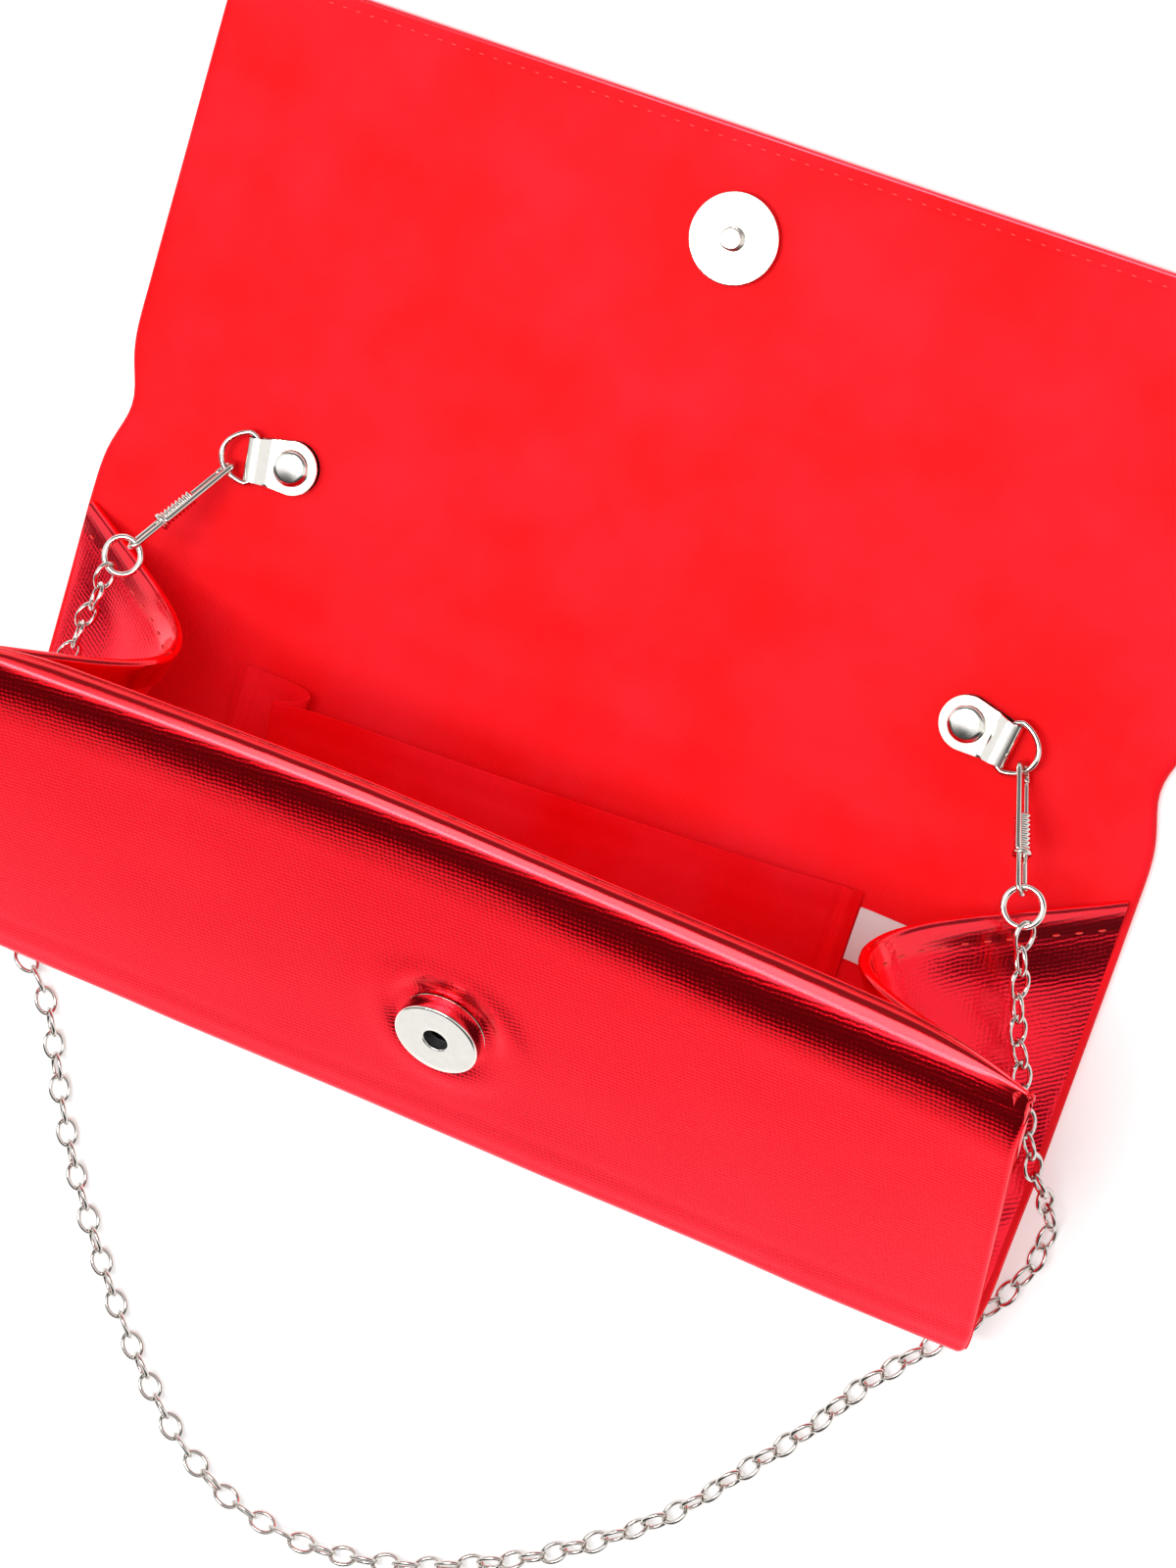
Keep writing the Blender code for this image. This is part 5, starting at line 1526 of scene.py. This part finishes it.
def rod_part(path, normal, radius, sides=14):
    """A round-ended wire along an open path, facing outwards."""
    whole, radii = round_ends(np.asarray(path, float), radius)
    points = tube_points(whole, normal, radii, sides, False)
    middle = len(whole) // 2
    return points, capped(len(whole), sides, flip=inside_out(points[middle:], whole[middle:]))


def make_clip(name):
    hook, along, arm, _ = clip_axes(name)
    across = np.cross(along, arm)

    def place(a, b):
        return hook + np.asarray(a)[..., None] * along + np.asarray(b)[..., None] * arm

    bend = -(D_WIRE + HOOK_CLEAR + ARM_RADIUS) + ARM_OFFSET
    angle = np.linspace(1.5 * np.pi, 0.5 * np.pi, 25)
    a = np.concatenate([np.linspace(HOOK_TIP, bend, 4)[:-1], bend + ARM_OFFSET * np.cos(angle),
                        np.linspace(bend, SLEEVE_END, 16)[1:]])
    b = np.concatenate([np.full(3, -ARM_OFFSET), ARM_OFFSET * np.sin(angle), np.full(15, ARM_OFFSET)])
    hook_part = rod_part(place(a, b), across, ARM_RADIUS)
    rib = np.linspace(0.0, RIB_COUNT, 8 * RIB_COUNT + 1)
    ribs = SLEEVE_RADIUS + RIB_HEIGHT * np.sin(np.pi * rib) ** 2
    sleeve = np.stack([ribs, SLEEVE_START + (SLEEVE_END - SLEEVE_START) * rib / RIB_COUNT], axis=1)
    end = SLEEVE_END + COLLAR_LENGTH
    inset = COLLAR_RADIUS - COLLAR_SOFT
    collar = [
        (inset, SLEEVE_END), (COLLAR_RADIUS, SLEEVE_END + COLLAR_SOFT),
        (COLLAR_RADIUS, end - COLLAR_SOFT), (inset, end), (0.6, end)]
    sleeve_foot = [(0.4, SLEEVE_START - 0.1), (SLEEVE_RADIUS - 0.15, SLEEVE_START - 0.1)]
    turned = np.vstack([sleeve_foot, sleeve, collar])
    sleeve_points = turned_points(turned, hook, along, SLEEVE_STEPS)
    sleeve_part = (sleeve_points, capped(len(turned), SLEEVE_STEPS, flip=True))
    eye_bend = CLIP_LENGTH + RING_WIRE + EYE_CLEAR + EYE_ROD - EYE_OFFSET
    eye_start = SLEEVE_END + 0.5 * COLLAR_LENGTH
    angle = np.linspace(-0.5 * np.pi, 0.5 * np.pi, 21)
    a = np.concatenate([[eye_start], eye_bend + EYE_OFFSET * np.cos(angle), [eye_start]])
    b = np.concatenate([[-EYE_OFFSET], EYE_OFFSET * np.sin(angle), [EYE_OFFSET]])
    eye_part = rod_part(place(a, b), across, EYE_ROD, 12)
    points, faces = join_parts([hook_part, sleeve_part, eye_part])
    clip = make_piece(f"clip_body_{name}", points, faces, wire_nickel)
    gate_along = np.linspace(HOOK_TIP + GATE_GAP + GATE_DOME, SLEEVE_START - GATE_GAP - GATE_DOME, 8)
    gate_line = place(gate_along, np.full(8, -ARM_OFFSET))
    gate_points, gate_faces = rod_part(gate_line, across, GATE_RADIUS)
    gate = make_piece(f"clip_gate_bar_{name}", gate_points, gate_faces, wire_nickel)
    centre, lean, level = ring_axes(name)
    angle = 2.0 * np.pi * np.arange(RING_STEPS) / RING_STEPS
    circle = centre + RING_RADIUS * (np.cos(angle)[:, None] * lean + np.sin(angle)[:, None] * level)
    stand_for(clip, [f"clip_frame_{name}"], f"clip_{name}")
    stand_for(gate, [f"clip_gate_{name}"], f"gate_{name}")
    around = np.cross(lean, level)
    wire_loop(f"jump_ring_wire_{name}", circle, around, RING_WIRE, f"jump_ring_{name}", f"clip_{name}")


for name in SIDES:
    make_clip(name)
print("clips, gates and rings done")

# %% [markdown]
# ## Magnetic snap
# The snap is two pressed discs: a stud on the flap, and on the front a cup with a magnet ring under its
# face, which the stud drops into.  Each part is a profile turned about the snap's axis.

# %% Snap
seat_front = np.array([0.0, *(FRONT_START + SNAP_UP_FRONT * FRONT_ALONG)])
out_front = np.array([0.0, *FRONT_OUT])
SNAP_FLAP_UP = 58.0
seat_flap = np.array([0.0, CREASE_2 + SNAP_FLAP_UP, 0.0])
SNAP_FACE = 4.2
SNAP_HOLE = 2.6


def turned_piece(name, profile, origin, axis, finish, node, body, ring=False, steps=72):
    """A turned solid; a ring's profile is closed on itself, another ends in small flat caps."""
    points = turned_points(profile, origin, axis, steps)
    if ring:
        faces = grid_faces(len(profile), steps, True, True, flip=True)
    else:
        faces = capped(len(profile), steps, flip=True)
    return stand_for(make_piece(name, points, faces, finish, sharp=35.0), [node], body)


def corner(centre, radius, start, end, count=5):
    """Points of a rounded corner of a (radius, height) profile, angles in degrees."""
    angle = np.radians(np.linspace(start, end, count))
    return np.stack([centre[0] + radius * np.cos(angle), centre[1] + radius * np.sin(angle)], axis=1)


cup = np.vstack([
    [(8.4, 0.3), (8.9, 0.3)], corner((8.6, 0.7), 0.4, -60, 0),
    corner((8.45, SNAP_FACE - 0.55), 0.55, 0, 90, 8),
    [(7.2, SNAP_FACE + 0.03), (5.4, SNAP_FACE + 0.04), (4.0, SNAP_FACE + 0.02)],
    corner((SNAP_HOLE + 0.35, SNAP_FACE - 0.35), 0.35, 90, 180, 7),
    [(SNAP_HOLE, SNAP_FACE - 0.6), (8.4, SNAP_FACE - 0.6)]])
turned_piece("snap_socket", cup, seat_front, out_front, nickel, "snap_cup", "front", ring=True)
magnet = np.vstack([[(2.9, 1.2), (8.1, 1.2), (8.1, 3.3)], corner((3.2, 3.0), 0.3, 90, 180, 5)])
turned_piece(
    "snap_ferrite", magnet, seat_front, out_front, ferrite, "snap_magnet", "front", ring=True)
base = np.array([
    (0.05, -2.2), (1.5, -2.2), (1.5, 0.3), (8.1, 0.3), (8.1, 0.9), (2.4, 0.9), (2.1, 1.05), (1.2, 1.05),
    (0.05, 1.0)])
turned_piece("snap_foot", base, seat_front, out_front, nickel, "snap_base", "front")
low = STACK + 0.3
disc = np.vstack([
    [(0.05, 1.2), (1.5, 1.2), (1.5, low), (8.8, low)], corner((8.8, low + 0.2), 0.2, -90, 0),
    corner((8.75, low + 1.05), 0.25, 0, 90, 7), [(6.0, low + 1.3), (3.4, low + 1.3), (2.5, low + 1.3)],
    corner((2.5, low + 1.55), 0.25, 270, 180, 4), corner((1.85, low + 3.3), 0.4, 0, 90, 6),
    [(0.8, low + 3.72), (0.05, low + 3.72)]])
turned_piece("snap_stud_disc", disc, seat_flap, UP, nickel, "snap_disc", "flap")
print("snap halves done")

# %% [markdown]
# ## Stitches
# Thread shows along the gussets' rims and the flap's free edge.  A stitch is a short bead of thread whose
# ends dip into the cloth; one small bead is copied along each seam by arrays.

# %% Stitching
BEAD_STEPS = 7
BEAD_SIDES = 6
GUSSET_STITCH = {"pitch": 4.4, "length": 1.7, "radius": 0.2}
FLAP_STITCH = {"pitch": 3.0, "length": 1.9, "radius": 0.13}
SEAM_IN = 4.0
SEAM_POINTS = 80


def stitch_row(name, line, lift, body, pitch, length, radius):
    """Beads of thread along a line: each lies along it, swells in its middle and dips at its ends."""
    total = lengths(line)[-1]
    count = int((total - 0.5 * pitch) / pitch)
    middle = 0.5 * (total - (count - 1) * pitch) + pitch * np.arange(count)
    centre = points_at(line, middle)
    ahead = unit(points_at(line, middle + 0.4) - points_at(line, middle - 0.4))
    up = unit(np.stack([np.interp(middle, lengths(line), lift[:, k]) for k in range(3)], axis=1))
    side = np.cross(ahead, up)
    share = np.linspace(-1.0, 1.0, BEAD_STEPS)
    swell = radius * np.sqrt(1.0 - 0.92 * share ** 2)
    rise = 0.16 - 0.34 * share ** 4
    angle = 2.0 * np.pi * np.arange(BEAD_SIDES) / BEAD_SIDES
    points = (centre[:, None, None] + (0.5 * length * share)[None, :, None, None] * ahead[:, None, None]
              + (rise[:, None] + swell[:, None] * np.sin(angle))[None, ..., None] * up[:, None, None]
              + (swell[:, None] * np.cos(angle))[None, ..., None] * side[:, None, None])
    bead = capped(BEAD_STEPS, BEAD_SIDES)
    size = BEAD_STEPS * BEAD_SIDES
    faces = [[k * size + i for i in face] for k in range(count) for face in bead]
    piece = make_piece(name, points, faces, thread)
    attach(piece, body)
    print(name, count, "stitches")
    return piece


for (which, name), (line, lift) in gusset_seams.items():
    stitch_row(f"gusset_{which}_stitches_{name}", line, lift, f"gusset_{which}_{name}", **GUSSET_STITCH)
edge_x = np.linspace(-HALF_WIDTH + SEAM_IN, HALF_WIDTH - SEAM_IN, SEAM_POINTS)
edge_y = np.full_like(edge_x, FLAP_END - FLAP_SEAM)
edge_z = STACK - lining_relief(edge_x, edge_y)
flap_line = np.stack([edge_x, edge_y, edge_z], axis=1)
stitch_row("flap_edge_stitches", flap_line, np.tile(UP, (SEAM_POINTS, 1)), "flap", **FLAP_STITCH)

# %% [markdown]
# ## Hidden pieces
# Most boards and washers stay as the frame has them, inside the panels; they only get their finish.  The
# front's board bows with the front, and the band's is narrowed where the leather is drawn in.

# %% The front's board, bowed with it, and the band's
BOARD_FROM = 6.0
BOARD_TO = 78.0
BOARD_DEPTH = 1.2
BOARD_IN = 3.0
BOARD_THICKNESS = 1.0
BOARD_ROWS = 24
BOARD_COLS = 40
BAND_CLEAR = 0.6
board_x = np.linspace(-HALF_WIDTH + BOARD_IN, HALF_WIDTH - BOARD_IN, BOARD_COLS)
board_yz = on_front(np.linspace(BOARD_TO, BOARD_FROM, BOARD_ROWS), BOARD_DEPTH)
board_points = np.stack(np.broadcast_arrays(board_x, board_yz[:, :1], board_yz[:, 1:]), axis=-1)
front_board = make_sheet("front_board_sheet", bowed(board_points, BOARD_ROWS), grey_board, BOARD_THICKNESS)
stand_for(front_board, ["front_board"], "front")
band_low, band_high = (np.array(corner) / MM - (0.0, FOLD_Y, 0.0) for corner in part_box("band_board"))
band_y = np.linspace(band_low[1], band_high[1], BOARD_ROWS)
band_reach = band_high[0] - side_drawn_in(band_y) - BAND_CLEAR
band_x = np.linspace(-1.0, 1.0, BOARD_COLS) * band_reach[:, None]
band_points = np.stack(np.broadcast_arrays(band_x, band_y[:, None], band_high[2]), axis=-1)
band_board = make_sheet(
    "band_board_sheet", band_points, grey_board, band_high[2] - band_low[2], flip=True)
stand_for(band_board, ["band_board"], "top_band")
print("front board", board_points.shape, "band board", band_points.shape)

# %% Finish of the pieces that stay
KEPT = (
    (grey_board, ("back_board", "flap_board")),
    (nickel, ("snap_base_washer", "snap_disc_washer", "rivet_washer_left", "rivet_washer_right")),
)
for finish, nodes in KEPT:
    for node in nodes:
        frame["nodes"][node].data.materials.clear()
        frame["nodes"][node].data.materials.append(finish)
print("boards and washers finished")
